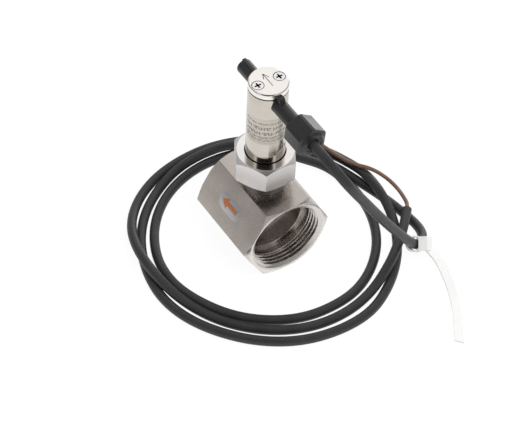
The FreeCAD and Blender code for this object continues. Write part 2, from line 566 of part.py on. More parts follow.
def make_rocker():
    """Rocker arm with the paddle below the pivot and the magnet cup above it."""
    bush = "pin_dia / 2 + pin_fit + bush_wall"
    cup_radius = "magnet_dia / 2 + cup_wall"
    reach = "housing_bore / 2 - stop_gap"
    stop_reach = "sqrt((%s)^2 - (stop_width / 2)^2)" % reach
    hub_end = ("-hub_width / 2", "0", "pivot_z")
    magnet_foot = ("0", "0", "cup_z + cup_height - magnet_height")
    arm = fuse(
        "rocker_solid",
        cylinder("rocker_hub", "hub_dia / 2", "hub_width", hub_end, "X"),
        block("lower_arm", ("arm_width", "arm_thick", "pivot_z - arm_z"),
              ("-arm_width / 2", "-arm_thick / 2", "arm_z")),
        cylinder("upper_stem", "stem_dia / 2", "cup_z - pivot_z", ("0", "0", "pivot_z")),
        cylinder("magnet_cup", cup_radius, "cup_height", ("0", "0", "cup_z")),
        block("rest_stop", ("stop_width", stop_reach, "cup_height / 2"),
              ("-stop_width / 2", "0", "cup_z + cup_height / 4")))
    cuts = [
        cylinder("hub_hole", bush, "hub_width", hub_end, "X"),
        cylinder("magnet_pocket", "magnet_dia / 2", "magnet_height", magnet_foot),
    ]
    face = "arm_thick / 2"
    corner_x = "paddle_width / 2 - paddle_corner"
    corner_z = "paddle_corner - paddle_below"
    plate = [("-paddle_width / 2", "paddle_above"), ("-paddle_width / 2", corner_z),
             ("-(%s)" % corner_x, "-paddle_below"), (corner_x, "-paddle_below"),
             ("paddle_width / 2", corner_z), ("paddle_width / 2", "paddle_above")]
    upright = FreeCAD.Rotation(FreeCAD.Vector(1, 0, 0), 90)
    back = face + " + paddle_thick"
    blank = polygon_pad("paddle_blank", plate, "paddle_thick", upright, ("0", back, "axis_z"))
    holes = []
    rivets = []
    for name, side in (("upper", "+"), ("lower", "-")):
        z = "arm_z + arm_overlap / 2 %s rivet_pitch / 2" % side
        shank = ("0", "-arm_thick / 2", z)
        cuts.append(cylinder(name + "_arm_hole", "rivet_dia / 2", "arm_thick", shank, "Y"))
        holes.append(cylinder(name + "_plate_hole", "rivet_dia / 2", "paddle_thick", ("0", face, z), "Y"))
        rivets.append(fuse(
            name + "_rivet",
            cylinder(name + "_rivet_shank", "rivet_dia / 2", "arm_thick + paddle_thick", shank, "Y"),
            cone(name + "_rivet_front", "rivet_dia / 2", "rivet_head / 2", "rivet_head_thick",
                 ("0", "-arm_thick / 2 - rivet_head_thick", z), "Y"),
            cone(name + "_rivet_back", "rivet_head / 2", "rivet_dia / 2", "rivet_head_thick",
                 ("0", back, z), "Y")))
    node("rocker_arm", cut("rocker_arm", arm, *cuts))
    node("paddle_plate", cut("paddle_plate", blank, *holes))
    node("paddle_rivets", group("paddle_rivets", *rivets))
    node("pivot_bush", ring("pivot_bush", bush, "pin_dia / 2 + pin_fit", "hub_width", hub_end, "X"))
    node("rocker_magnet", cylinder("rocker_magnet", "magnet_dia / 2", "magnet_height", magnet_foot))


def make_return_magnet():
    """Holder at the closed end of the housing bore, with the magnet that pushes the rocker back."""
    low = "bore_top - holder_thick"
    disc = cylinder("holder_disc", "housing_bore / 2 - yoke_gap", "holder_thick", ("0", "0", low))
    seat = ("0", "-return_shift", low)
    pocket = cylinder("holder_pocket", "return_dia / 2", "return_thick", seat)
    node("magnet_holder", cut("magnet_holder", disc, pocket))
    node("return_magnet", cylinder("return_magnet", "return_dia / 2", "return_thick", seat))


# The cable's route: out of the gland, down to the floor at the tie, then three loose turns around
# the body, each turn a little wider than the last, to the cut end that lies on the first turn.
CABLE_LEAD = (
    (0, -36, 109.9), (0, -45.2, 109.9), (1.5, -54, 106.7), (4.6, -60.3, 100.9), (9, -63.3, 93),
    (18.7, -62, 77), (34.5, -60.3, 51), (50, -58.1, 27.5), (60, -55.6, 13), (66, -53.3, 6.8),
    (72, -49.3, 4.5), (75.8, -41, 2.7),
)
CABLE_TURNS = (
    (74.3, -27.5, 2.7), (71.2, -12, 2.7), (66.8, 2.4, 2.7), (61.2, 20.3, 2.7), (51.9, 39.4, 2.7),
    (36, 51, 2.7), (17.5, 57.5, 2.7), (-1, 59, 2.7), (-18.8, 55, 2.7), (-35, 46, 2.7), (-48.5, 32, 2.7),
    (-57.5, 14, 2.7), (-59.5, -4, 2.7), (-55.2, -20.8, 2.7), (-45.2, -39.2, 2.7), (-30.8, -52.7, 2.7),
    (-12.6, -61.4, 2.7), (7, -62.8, 2.7), (23.9, -59.5, 2.7), (40, -49.3, 2.7), (52.7, -34.3, 2.7),
    (60, -15.5, 2.7), (60.5, 3.7, 3.6), (56.2, 20.4, 5.8), (44.8, 34, 6.8), (33.5, 46.5, 8.52),
    (19.5, 59.5, 8.52), (2, 63.4, 6.3), (-16, 62.1, 4.4), (-32.5, 55, 2.7), (-47.5, 43.5, 2.7),
    (-59.5, 27.5, 2.7), (-67, 8.5, 2.7), (-69.5, -11, 2.7), (-65.5, -29.5, 2.7), (-55.5, -47, 2.7),
    (-41, -62.5, 2.7), (-22.5, -73.5, 2.7), (-1.5, -78, 2.7), (19.5, -76.5, 2.7), (36.7, -67.4, 2.7),
    (51.7, -54.2, 2.7), (62.25, -39, 2.7), (68, -24, 4.83), (69.3, -10.5, 8.64), (69.4, 3, 8.6),
    (69.3, 14, 5), (63.7, 31.3, 3.3), (51.9, 49.4, 2.7), (33.5, 61, 2.7), (13, 68, 2.7),
    (-7, 68.5, 2.7), (-26.5, 64.5, 2.7), (-43.5, 55.5, 3.04), (-57, 41.5, 5.28), (-65, 24.5, 8.75),
    (-67, 4.5, 8.9), (-63.5, -14.5, 5.05), (-56.5, -31.9, 3.1), (-45.5, -48, 2.7), (-29.8, -61.3, 2.7),
    (-11, -69, 2.7), (9, -70, 2.7), (27.3, -65.5, 3.2), (43.2, -58.1, 8), (55.8, -48.5, 8.5),
    (66.3, -39.1, 8.5), (74.3, -30.2, 8.1),
)
# One stripped core leaves the cut end and comes to lie on top of the outer turn.
CORE_ROUTE = (
    (74.3, -30.2, 8.1), (76.7, -27.53, 7.98), (77.9, -22.2, 8.2), (78.7, -15.1, 8.2), (78.1, -7.3, 8.4),
    (75.8, -0.1, 9), (71.1, 3.1, 12.2), (68.1, 7.5, 11.5), (67, 12.3, 9.3), (66, 16.3, 8.2),
    (64.7, 20.9, 7.8), (63.5, 25.7, 7.5), (62.4, 29.9, 7.4), (61.4, 34.1, 7.4), (60.1, 38.3, 7.1),
)
# The loop of the cable tie, and its tail that comes down to the floor in front of it.
TIE_CENTRE = (62, -54.8, 11)
TIE_HEADING = (6, 2.3, -6.2)
TIE_SIDE = (0.63, -0.68, 0.36)
TIE_TAIL = ((66.2, -58.6, 11.2), (69.3, -68.5, 6), (68, -80.4, 0.2), (60.8, -96.7, 0.2), (49, -115, 0.2))
# Share of the shorter run on which each bend of a cord starts
BEND_SHARE = 0.45


def smooth_path(points):
    """Join straight runs with tangent arcs that are as large as the runs allow."""
    corners = [FreeCAD.Vector(*point) for point in points]
    edges = []
    radii = []
    start = corners[0]
    for before, corner, after in zip(corners, corners[1:], corners[2:]):
        incoming = (corner - before).normalize()
        outgoing = (after - corner).normalize()
        turn = incoming.getAngle(outgoing)
        setback = BEND_SHARE * min((corner - before).Length, (after - corner).Length)
        radii.append(setback / math.tan(turn / 2))
        arc_start = corner - incoming * setback
        arc_end = corner + outgoing * setback
        inward = (outgoing - incoming).normalize()
        middle = corner + inward * (radii[-1] / math.cos(turn / 2) - radii[-1])
        edges.append(Part.LineSegment(start, arc_start).toShape())
        edges.append(Part.Arc(arc_start, middle, arc_end).toShape())
        start = arc_end
    edges.append(Part.LineSegment(start, corners[-1]).toShape())
    return Part.Wire(edges), radii


def solid_feature(name, shape):
    """Add a solid that is swept in code."""
    obj = doc.addObject("Part::Feature", name)
    obj.Shape = shape
    obj.Placement = FreeCAD.Placement()
    return node(name, obj)


def make_cord(name, points, diameter):
    """Sweep a round cord along its route and report its length, tightest bend and volume."""
    path, radii = smooth_path(points)
    heading = FreeCAD.Vector(*points[1]) - FreeCAD.Vector(*points[0])
    section = Part.Wire(Part.makeCircle(diameter / 2, FreeCAD.Vector(*points[0]), heading))
    tube = path.makePipeShell([section], True, False)
    ideal = math.pi * diameter ** 2 / 4 * path.Length
    print(name, "length", round(path.Length, 1), "volume ratio", round(tube.Volume / ideal, 4))
    print(name, "bend radii", [round(radius, 1) for radius in radii])
    solid_feature(name, tube)


def make_tie():
    """Cable tie: a strap loop around the end of the lead, a lock beside it and a flat tail."""
    centre = FreeCAD.Vector(*TIE_CENTRE)
    heading = FreeCAD.Vector(*TIE_HEADING).normalize()
    width = value("tie_width")
    thick = value("tie_thick")
    inner = value("tie_inner_dia") / 2
    head = value("tie_head")
    low = centre - heading * (width / 2)
    loop = Part.makeCylinder(inner + thick, width, low, heading)
    loop = loop.cut(Part.makeCylinder(inner, width, low, heading))
    side = FreeCAD.Vector(*TIE_SIDE)
    out = (side - heading * side.dot(heading)).normalize()
    lock = Part.makeBox(head, head, value("tie_head_thick"), FreeCAD.Vector(-head / 2, -head / 2, 0))
    facing = FreeCAD.Rotation(heading, out.cross(heading), out, "ZXY")
    lock.Placement = FreeCAD.Placement(centre + out * inner, facing)
    lock = lock.cut(Part.makeCylinder(inner, 2 * head, centre - heading * head, heading))
    path, radii = smooth_path(TIE_TAIL)
    start = FreeCAD.Vector(*TIE_TAIL[0])
    half = FreeCAD.Vector(width / 2, 0, 0)
    rise = FreeCAD.Vector(0, 0, thick)
    left = start - half
    right = start + half
    strap = Part.makePolygon([left, right, right + rise, left + rise, left])
    sweep = Part.BRepOffsetAPI.MakePipeShell(path)
    sweep.setBiNormalMode(FreeCAD.Vector(0, 0, 1))
    sweep.add(strap)
    sweep.build()
    sweep.makeSolid()
    print("cable tie tail length", round(path.Length, 1))
    print("cable tie tail bend radii", [round(radius, 1) for radius in radii])
    solid_feature("cable_tie", loop.fuse([lock, sweep.shape()]).removeSplitter())


make_pipe_body()
make_flow_mark()
make_neck()
make_housing()
make_cap()
make_reed_tube()
make_gland()
make_pivot()
make_rocker()
make_return_magnet()
make_cord("cable", CABLE_LEAD + CABLE_TURNS, value("cable_dia"))
make_cord("brown_core", CORE_ROUTE, value("core_dia"))
make_tie()
doc.recompute()

for obj in doc.Objects:
    if "Invalid" in obj.State or "Error" in obj.State:
        raise RuntimeError("failed object: " + obj.Label)
for obj in nodes:
    if obj.Shape.isNull() or not obj.Shape.isValid() or not obj.Shape.Solids:
        raise RuntimeError("bad shape: " + obj.Label)
os.makedirs("parts", exist_ok=True)
for obj in nodes:
    obj.Shape.exportStep("parts/%s.step" % obj.Label)
    print(obj.Label, len(obj.Shape.Solids), round(obj.Shape.Volume, 1))
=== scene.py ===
import math

import bmesh
import bpy
from mathutils import Matrix, Vector


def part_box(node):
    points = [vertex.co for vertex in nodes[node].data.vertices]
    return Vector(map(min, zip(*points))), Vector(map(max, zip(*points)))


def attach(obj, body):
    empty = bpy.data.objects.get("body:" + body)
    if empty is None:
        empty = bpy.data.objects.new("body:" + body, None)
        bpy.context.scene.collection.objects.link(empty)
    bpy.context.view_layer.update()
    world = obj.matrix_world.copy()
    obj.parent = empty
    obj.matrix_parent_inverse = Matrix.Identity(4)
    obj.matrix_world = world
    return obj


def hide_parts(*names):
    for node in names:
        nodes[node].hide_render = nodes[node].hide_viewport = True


# Paddle flow switch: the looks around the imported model.
# The tables below are in millimetres, in the model's own frame; MM turns them into metres.

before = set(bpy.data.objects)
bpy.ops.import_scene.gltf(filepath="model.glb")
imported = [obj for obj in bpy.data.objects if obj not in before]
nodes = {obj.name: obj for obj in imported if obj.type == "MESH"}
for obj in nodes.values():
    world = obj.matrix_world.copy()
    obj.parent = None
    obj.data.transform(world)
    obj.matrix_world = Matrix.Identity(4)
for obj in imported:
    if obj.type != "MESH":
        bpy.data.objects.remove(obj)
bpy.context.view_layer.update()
scene = bpy.context.scene
scene.view_settings.view_transform = "Standard"
MM = 0.001
TAU = 2 * math.pi

# Camera fitted to the edges of the photograph
IMAGE_WIDTH = 522
FOCAL_PIXELS = 2322.34
SENSOR = 36.0
EYE = (-468.60, -677.36, 944.40)
RIGHT = (0.84247, -0.53777, 0.03233)
UP = (0.38487, 0.64277, 0.66236)
BACK = (-0.37697, -0.54558, 0.74849)
CLIP_METRES = (0.05, 50)

# The cable's route, as in the part's source
CABLE_ROUTE = (
    (0, -36, 109.9), (0, -45.2, 109.9), (1.5, -54, 106.7), (4.6, -60.3, 100.9), (9, -63.3, 93),
    (18.7, -62, 77), (34.5, -60.3, 51), (50, -58.1, 27.5), (60, -55.6, 13), (66, -53.3, 6.8),
    (72, -49.3, 4.5), (75.8, -41, 2.7),
    (74.3, -27.5, 2.7), (71.2, -12, 2.7), (66.8, 2.4, 2.7), (61.2, 20.3, 2.7), (51.9, 39.4, 2.7),
    (36, 51, 2.7), (17.5, 57.5, 2.7), (-1, 59, 2.7), (-18.8, 55, 2.7), (-35, 46, 2.7), (-48.5, 32, 2.7),
    (-57.5, 14, 2.7), (-59.5, -4, 2.7), (-55.2, -20.8, 2.7), (-45.2, -39.2, 2.7), (-30.8, -52.7, 2.7),
    (-12.6, -61.4, 2.7), (7, -62.8, 2.7), (23.9, -59.5, 2.7), (40, -49.3, 2.7), (52.7, -34.3, 2.7),
    (60, -15.5, 2.7), (60.5, 3.7, 3.6), (56.2, 20.4, 5.8), (44.8, 34, 6.8), (33.5, 46.5, 8.52),
    (19.5, 59.5, 8.52), (2, 63.4, 6.3), (-16, 62.1, 4.4), (-32.5, 55, 2.7), (-47.5, 43.5, 2.7),
    (-59.5, 27.5, 2.7), (-67, 8.5, 2.7), (-69.5, -11, 2.7), (-65.5, -29.5, 2.7), (-55.5, -47, 2.7),
    (-41, -62.5, 2.7), (-22.5, -73.5, 2.7), (-1.5, -78, 2.7), (19.5, -76.5, 2.7), (36.7, -67.4, 2.7),
    (51.7, -54.2, 2.7), (62.25, -39, 2.7), (68, -24, 4.83), (69.3, -10.5, 8.64), (69.4, 3, 8.6),
    (69.3, 14, 5), (63.7, 31.3, 3.3), (51.9, 49.4, 2.7), (33.5, 61, 2.7), (13, 68, 2.7),
    (-7, 68.5, 2.7), (-26.5, 64.5, 2.7), (-43.5, 55.5, 3.04), (-57, 41.5, 5.28), (-65, 24.5, 8.75),
    (-67, 4.5, 8.9), (-63.5, -14.5, 5.05), (-56.5, -31.9, 3.1), (-45.5, -48, 2.7), (-29.8, -61.3, 2.7),
    (-11, -69, 2.7), (9, -70, 2.7), (27.3, -65.5, 3.2), (43.2, -58.1, 8), (55.8, -48.5, 8.5),
    (66.3, -39.1, 8.5), (74.3, -30.2, 8.1),
)
CORE_ROUTE = (
    (74.3, -30.2, 8.1), (76.7, -27.53, 7.98), (77.9, -22.2, 8.2), (78.7, -15.1, 8.2), (78.1, -7.3, 8.4),
    (75.8, -0.1, 9), (71.1, 3.1, 12.2), (68.1, 7.5, 11.5), (67, 12.3, 9.3), (66, 16.3, 8.2),
    (64.7, 20.9, 7.8), (63.5, 25.7, 7.5), (62.4, 29.9, 7.4), (61.4, 34.1, 7.4), (60.1, 38.3, 7.1),
)
CABLE_DIA = 5.3
CORE_DIA = 2.2

# Sizes of the CAD solids that the pieces stand for: AF is across flats, those of round ones are radii
BODY_AF = 46.0
BODY_HALF = 25.0
BODY_FACE = 23.5
THREAD_CREST = 19.475
THREAD_ROOT = 20.955
THREAD_PITCH = 2.309
THREAD_DEPTH = 14.2
THREAD_RUN = 10.0
THREAD_ENTRY = 22.4
THREAD_LEAD = 1.5
INNER_BORE = 17.5
PORT = 8.0
NECK_AF = 31.0
NECK_FACE = 15.0
NECK_BORE = 10.4
NECK_SOCKET = 10.55
HOUSING = 10.5
HOUSING_BORE = 8.25
TUBE = 4.15
TUBE_BORE = 2.6
TUBE_END = 3.0
RIB_HALF = 1.1
RIB_RISE = 0.8
RIB_ROOT = 3.0
RIB_SHORT = 0.05
KEY_HALF = 1.6
KEY_FRONT = -14.2
RIB_FRONT = KEY_FRONT + 1
KEY_BACK = -8.0
KEY_SLOPE = 1.2
KEY_SLOT_BACK = -3.7
SLIDE_GAP = 0.1
RIB_SLOT = RIB_HALF + SLIDE_GAP
KEY_SLOT = KEY_HALF + SLIDE_GAP
SCREWS_X = (-6.4, 6.4)
SCREW_HEAD = 3.0
SCREW_SHANK = 1.5
SCREW_LENGTH = 10.5
HEAD_SUNK = 0.25
GLAND_AF = 16.0
GLAND_ROUND = 8.8
GLAND_TURN = 25.0
GLAND_STEP = 1.3
GLAND_CHAMBER = 5.05
HEX_ANGLE = math.radians(30)
HEX_SLOPE = math.tan(HEX_ANGLE)

AXIS_Z = BODY_AF / 2
NECK_Z, NECK_TOP = [corner.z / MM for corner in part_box("neck_hexagon")]
HOUSING_Z, HOUSING_TOP = [corner.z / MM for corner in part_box("sensor_housing")]
CAP_Z, CAP_TOP = [corner.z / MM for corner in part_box("clamp_cap")]
LABEL_Z, LABEL_TOP = [corner.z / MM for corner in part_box("housing_label")]
TUBE_FRONT, TUBE_BACK = [corner.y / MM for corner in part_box("reed_tube")]
TUBE_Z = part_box("reed_tube")[0].z / MM + TUBE
RIB_TOP = TUBE_Z + TUBE + RIB_RISE
KEY_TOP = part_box("reed_tube")[1].z / MM
GLAND_FRONT, GLAND_BACK = [corner.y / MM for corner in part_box("gland_nut")]
BORE_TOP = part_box("magnet_holder")[1].z / MM
CONE_Z = CAP_TOP - HEAD_SUNK - SCREW_HEAD + SCREW_SHANK

# Sizes of the finish, which the solids leave out
BODY_CORNER = 0.35
NECK_CORNER = 0.25
GLAND_CORNER = 0.6
THREAD_TURN_STEPS = 14
THREAD_STEPS = round(THREAD_DEPTH / THREAD_PITCH * THREAD_TURN_STEPS)
THREAD_STEEPNESS = 1.3
THREAD_FLAT = 0.12
THREAD_FADE = 1.0
BORE_BEVEL = 0.3
BORE_GAP = 0.12
SCREW_GAP = 0.1
SINK_GAP = 0.32
SINK_RIM = 0.2
MOULD_ROUND = 0.3
MOULD_STEPS = 3
MOULD_ANGLE = math.radians(35)
SHARP_ANGLE = math.radians(32)

# Mesh steps: around turned pieces, and along a hexagon's flats and corners
FINE = 256
MEDIUM = 128
COARSE = 96
FLAT_STEPS = 36
CORNER_STEPS = 6

# The origin, where a turned profile starts beside its axis, and how far cutting tools reach
ORIGIN = (0, 0, 0)
TIP = 0.2
CLEAR = 1
THROUGH = 12

# Body's turned corners: share of the way from the end face to the flat, inset and depth
BODY_EDGE = ((0, 0.25, 0), (0, 0.14, 0), (0, 0.06, 0.02), (0.5, 0.03, 0.06), (1, 0.01, 0.14),
             (1, 0, 0.25))
# Rim of the body's sockets: outset from the entry's radius, and depth
SOCKET_RIM = ((0.2, 0), (0.08, 0), (-0.03, 0.05))

# Neck's end faces: outset from the face's radius, and depth
NECK_FOOT = ((-0.2, 0), (0.02, 0.04))
NECK_HEAD = ((0.2, 0.04 + 0.18 * HEX_SLOPE), (0.02, 0.04), (-0.2, 0), (-0.4, 0))
# Neck's turned corners: inset from the hexagon, and distance from the turned edge
NECK_EDGE = ((0.12, -0.12 * HEX_SLOPE), (0.02, 0.02), (0, 0.15))
# Groove in the neck around the housing: radius, and depth under the neck's top
NECK_GROOVE = ((11.2, 0), (11.05, 0), (10.97, 0.1), (10.95, 0.7), (NECK_SOCKET, 0.75))

# Edges of the turned pieces: inset, and distance from the end
HOUSING_FOOT = ((0.3, 0), (0, 0.3))
HOUSING_EDGE = ((0, 0.25), (0.07, 0.07), (0.25, 0))
CAP_FOOT = ((0.2, 0), (0, 0.2))
CAP_EDGE = ((0, 0.6), (0.05, 0.47), (0.47, 0.05), (0.6, 0), (0.8, 0))
SCREW_FOOT = ((0.4, 0), (0, 0.4))
SCREW_EDGE = ((0, HEAD_SUNK), (0, 0.1), (0.12, 0.02), (1.1, 0))
TUBE_FOOT = ((0.2, 0), (0, 0.2))
TUBE_EDGE = ((0, 0.6), (0.18, 0.18), (0.6, 0))

# Edges of the gland's hexagon, at its back and front: inset, and distance from that end
GLAND_BACK_EDGE = ((0.8, 0.02), (0.35, 0.2), (0.1, 0.55), (0, 1.0))
GLAND_FRONT_EDGE = ((0, 0.6), (0.07, 0.25), (0.25, 0.07), (0.6, 0))
# Gland's collar: radius, and distance in front of the hexagon
GLAND_COLLAR = ((7.1, 0), (6.85, 0.1), (6.7, 0.5), (6.3, 0.9))
# Gland's mouth: radius, and depth behind its front
GLAND_MOUTH = ((5.9, 0), (4.9, 0), (4.6, 0.35), (3.9, 0.35), (3.6, 0.05), (3.2, 0.25), (3.2, 1.8),
               (GLAND_CHAMBER, 1.8))
# Gland's back face, and its gaps around the tube at the back and at the tube's front
GLAND_FACE = 6.4
GLAND_BACK_GAP = 0.08
GLAND_FRONT_GAP = 0.05

# Label around the housing, and the lift of its two faces
LABEL_CORNER = 1.0
LABEL_COLUMNS = 96
LABEL_ROWS = 24
LABEL_MIDDLE = math.radians(235)
LABEL_HALF = math.radians(220) / 2
LABEL_LIFTS = (0.004, 0.02)

# Plain marks on the label: the height and thickness of each row, and the strokes and gaps along it
MARK_ROWS = ((97.7, 1.2), (94.3, 2.0), (90.6, 2.0), (87.7, 1.4), (85.7, 1.1))
MARK_STROKES = ((0, 1), (0, 1), (0.55, 1), (0, 1), (0, 0.45), (0, 1), (0.35, 0.65), (0, 1), (0.5, 1))
MARK_GROUPS = (9, 6, 13, 8, 5, 11, 7)
MARK_WIDTH = 0.17
MARK_GAP = 0.2
MARK_SPACE = 0.5
MARK_START = math.radians(168)
MARK_END = math.radians(300)
MARK_RADIUS = HOUSING + 0.045

# Arrow engraved in the cap, and the cross recess of a screw
ENGRAVED_DEPTH = 0.15
ENGRAVED_HALF = 0.19
ARROW_TIP = 5.6
ARROW_TAIL = -4.0
SHAFT_SHORT = 0.3
BARB_LENGTH = 3.8
BARB_ANGLE = math.radians(25)
CROSS_LENGTH = 2.1
CROSS_HALF = 0.55
CROSS_DEPTH = 1.3
CROSS_RISE = 0.5
CROSS_TAPER = 0.6

# Film under the flow arrow: its half length and half width, and its rings as lift and scale
FLAT_TILT = math.radians(60)
FILM_Y = 0.9
FILM_HALVES = (9.4, 4.9)
FILM_POWER = 0.6
FILM_STEPS = 96
FILM_RINGS = ((0.004, 1.0), (0.012, 1.0), (0.018, 0.99))

# Materials: stains, bumps, where a finish fades in by the way a surface faces, and painted shade in
# gaps and recesses
STEEL_CLOUD = (0.06, 0.06, 0.06)
STEEL_BUMP = 0.35
PLASTIC_BUMP = 0.3
PLASTIC_SPREAD = 0.07
GLASS_GRAIN = (2, 0.1, 2)
GLASS_ROUGHNESS = (0.02, 0.08)
TURNED_RANGE = (0.75, 0.95)
LEVEL_RANGE = (0.92, 0.98)
# Painted shade in gaps and recesses: its colour, and how sharply it begins and fades out
PAINTED_GAP_SHADE = (0.012, 0.011, 0.010)
GAP_SHADE_EDGE = 0.03
GAP_SHADE_FADE = 0.1

# World: shades by how far a view points to a direction, from 0 for away to 1 for straight at it
ROOM_SHADES = ((0, 0.2), (0.44, 0.35), (0.5, 0.48), (0.62, 0.42), (1, 0.4))
WINDOW = (0.5, 0.52, 0.6)
WINDOW_SHADES = ((0.86, 0.0), (0.95, 0.5), (1, 0.6))
BEHIND_SHADES = ((0.86, 0.45), (0.877, 1.0), (0.924, 1.0), (0.93, 0.01), (1, 0.01))
BACKDROP = (0.46, 0.46, 0.46)
WORLD_STRENGTH = 2.2
# Floor: shade, glow and the glow's share, then reach and drop in metres
FLOOR_SHADE = (0.85, 0.85, 0.85, 1)
FLOOR_GLOW = 1.05
FLOOR_GLOW_SHARE = 0.9
FLOOR_REACH = 0.32
FLOOR_DROP = 0.0002
# Lamps: place, target and size in metres, power in watts, and whether they show in reflections
LAMPS = {
    "rim": ((0.70, 0.46, 0.10), (0, 0, 0.10), (0.45, 0.30), 1.3, True),
    "fill": ((0.0, -0.55, 0.90), (0.03, -0.02, 0.03), (0.6, 0.6), 6.6, False),
}

# Axes that rings lie around: two directions across, then the one along
AXES = {
    "Y": (Vector((1, 0, 0)), Vector((0, 0, 1)), Vector((0, 1, 0))),
    "Z": (Vector((1, 0, 0)), Vector((0, 1, 0)), Vector((0, 0, 1))),
}


def link(obj):
    """Put an object into the scene."""
    scene.collection.objects.link(obj)
    return obj


def make_camera():
    """The photograph's camera."""
    data = bpy.data.cameras.new("camera")
    data.sensor_fit = "HORIZONTAL"
    data.sensor_width = SENSOR
    data.lens = FOCAL_PIXELS / IMAGE_WIDTH * SENSOR
    data.clip_start, data.clip_end = CLIP_METRES
    camera = link(bpy.data.objects.new("camera", data))
    turn = Matrix((RIGHT, UP, BACK)).transposed().to_4x4()
    camera.matrix_world = Matrix.Translation(Vector(EYE) * MM) @ turn
    scene.camera = camera


# Node helpers for the materials

def new_material(name):
    """A material with its node tree and shader."""
    material = bpy.data.materials.new(name)
    material.use_nodes = True
    return material, material.node_tree, material.node_tree.nodes["Principled BSDF"]


def add(tree, kind, **inputs):
    """Add a node and set its unlinked inputs by name."""
    node = tree.nodes.new(kind)
    for name, number in inputs.items():
        node.inputs[name].default_value = number
    return node


def operate(tree, kind, operation, sources):
    """Add a node that calculates; each source is another node's output or a constant."""
    node = tree.nodes.new(kind)
    node.operation = operation
    for source, socket in zip(sources, node.inputs):
        if isinstance(source, bpy.types.NodeSocket):
            tree.links.new(source, socket)
        else:
            socket.default_value = source
    return node.outputs


def calculate(tree, operation, *sources):
    """Calculate with numbers."""
    return operate(tree, "ShaderNodeMath", operation, sources)["Value"]


def calculate_vector(tree, operation, *sources):
    """Calculate with vectors or colours."""
    outputs = operate(tree, "ShaderNodeVectorMath", operation, sources)
    return outputs["Value" if operation in ("LENGTH", "DOT_PRODUCT") else "Vector"]


def split(tree, source):
    """The X, Y and Z of a vector."""
    node = tree.nodes.new("ShaderNodeSeparateXYZ")
    tree.links.new(source, node.inputs[0])
    return node.outputs


def noise(tree, stretch, detail):
    """Noise in millimetres, stretched by a factor along each axis."""
    place = add(tree, "ShaderNodeTexCoord")
    mapping = add(tree, "ShaderNodeMapping", Scale=[factor / MM for factor in stretch])
    cloud = add(tree, "ShaderNodeTexNoise", Scale=1.0, Detail=detail)
    tree.links.new(place.outputs["Object"], mapping.inputs["Vector"])
    tree.links.new(mapping.outputs["Vector"], cloud.inputs["Vector"])
    return cloud.outputs["Fac"]


def remap(tree, source, low, high, start=0.3, end=0.7):
    """Spread a value between two limits; unless given, start and end are the usual ones of noise."""
    node = add(tree, "ShaderNodeMapRange",
               **{"From Min": start, "From Max": end, "To Min": low, "To Max": high})
    tree.links.new(source, node.inputs["Value"])
    return node.outputs["Result"]


def blend_colours(tree, source, first, second):
    """Mix two colours by a value from 0 to 1."""
    node = tree.nodes.new("ShaderNodeMix")
    node.data_type = "RGBA"
    colours = [socket for socket in node.inputs if socket.type == "RGBA"]
    for socket, colour in zip(colours, (first, second)):
        if isinstance(colour, tuple):
            socket.default_value = (*colour, 1)
        else:
            tree.links.new(colour, socket)
    tree.links.new(source, node.inputs["Factor"])
    return [socket for socket in node.outputs if socket.type == "RGBA"][0]


def bump(tree, shader, source, strength, depth):
    """Raise the surface by a value, with its depth in millimetres."""
    node = add(tree, "ShaderNodeBump", Strength=strength, Distance=depth * MM)
    tree.links.new(source, node.inputs["Height"])
    tree.links.new(node.outputs["Normal"], shader.inputs["Normal"])


def slant(tree, axis):
    """How far a surface faces along an axis, either way, from 0 to 1."""
    geometry = tree.nodes.new("ShaderNodeNewGeometry")
    return calculate(tree, "ABSOLUTE", split(tree, geometry.outputs["Normal"])[axis])


def steel(name, dark, light, rough, grain, depth=0.02, streaks=0.15, spread=0.07, dull=None,
          turned=None):
    """Stainless steel with machining lines along one direction and faint stains.

    All but level faces can be duller, and faces square to Y can have a shade of their own.
    """
    material, tree, shader = new_material(name)
    shader.inputs["Metallic"].default_value = 1.0
    lines = noise(tree, grain, detail=6)
    stains = noise(tree, STEEL_CLOUD, detail=5)
    tone = blend_colours(tree, remap(tree, stains, 0, 1), dark, light)
    if turned is not None:
        square = remap(tree, slant(tree, "Y"), 0, 1, *TURNED_RANGE)
        tone = blend_colours(tree, square, tone, turned)
    streak = blend_colours(tree, remap(tree, lines, 0, streaks), tone, dark)
    tree.links.new(streak, shader.inputs["Base Color"])
    polish = remap(tree, lines, rough - spread, rough + spread)
    if dull is not None:
        unlevel = remap(tree, slant(tree, "Z"), dull, 0, *LEVEL_RANGE)
        polish = calculate(tree, "MAXIMUM", polish, unlevel)
    tree.links.new(polish, shader.inputs["Roughness"])
    bump(tree, shader, lines, STEEL_BUMP, depth)
    return material


def plastic(name, dark, light, rough, grain=1.5, depth=0.03, cloud=0.08):
    """Moulded plastic or rubber with a fine grain and slight changes of shade."""
    material, tree, shader = new_material(name)
    fine = noise(tree, (grain, grain, grain), detail=3)
    broad = noise(tree, (cloud, cloud, cloud), detail=4)
    tone = blend_colours(tree, remap(tree, broad, 0, 1), dark, light)
    tree.links.new(tone, shader.inputs["Base Color"])
    polish = remap(tree, fine, rough - PLASTIC_SPREAD, rough + PLASTIC_SPREAD)
    tree.links.new(polish, shader.inputs["Roughness"])
    bump(tree, shader, fine, PLASTIC_BUMP, depth)
    return material


def glass(name, dark, light):
    """Clear glass with faint drawn streaks along the capsule."""
    material, tree, shader = new_material(name)
    shader.inputs["Transmission Weight"].default_value = 1.0
    streaks = noise(tree, GLASS_GRAIN, detail=4)
    tone = blend_colours(tree, remap(tree, streaks, 0, 1), dark, light)
    tree.links.new(tone, shader.inputs["Base Color"])
    tree.links.new(remap(tree, streaks, *GLASS_ROUGHNESS), shader.inputs["Roughness"])
    return material


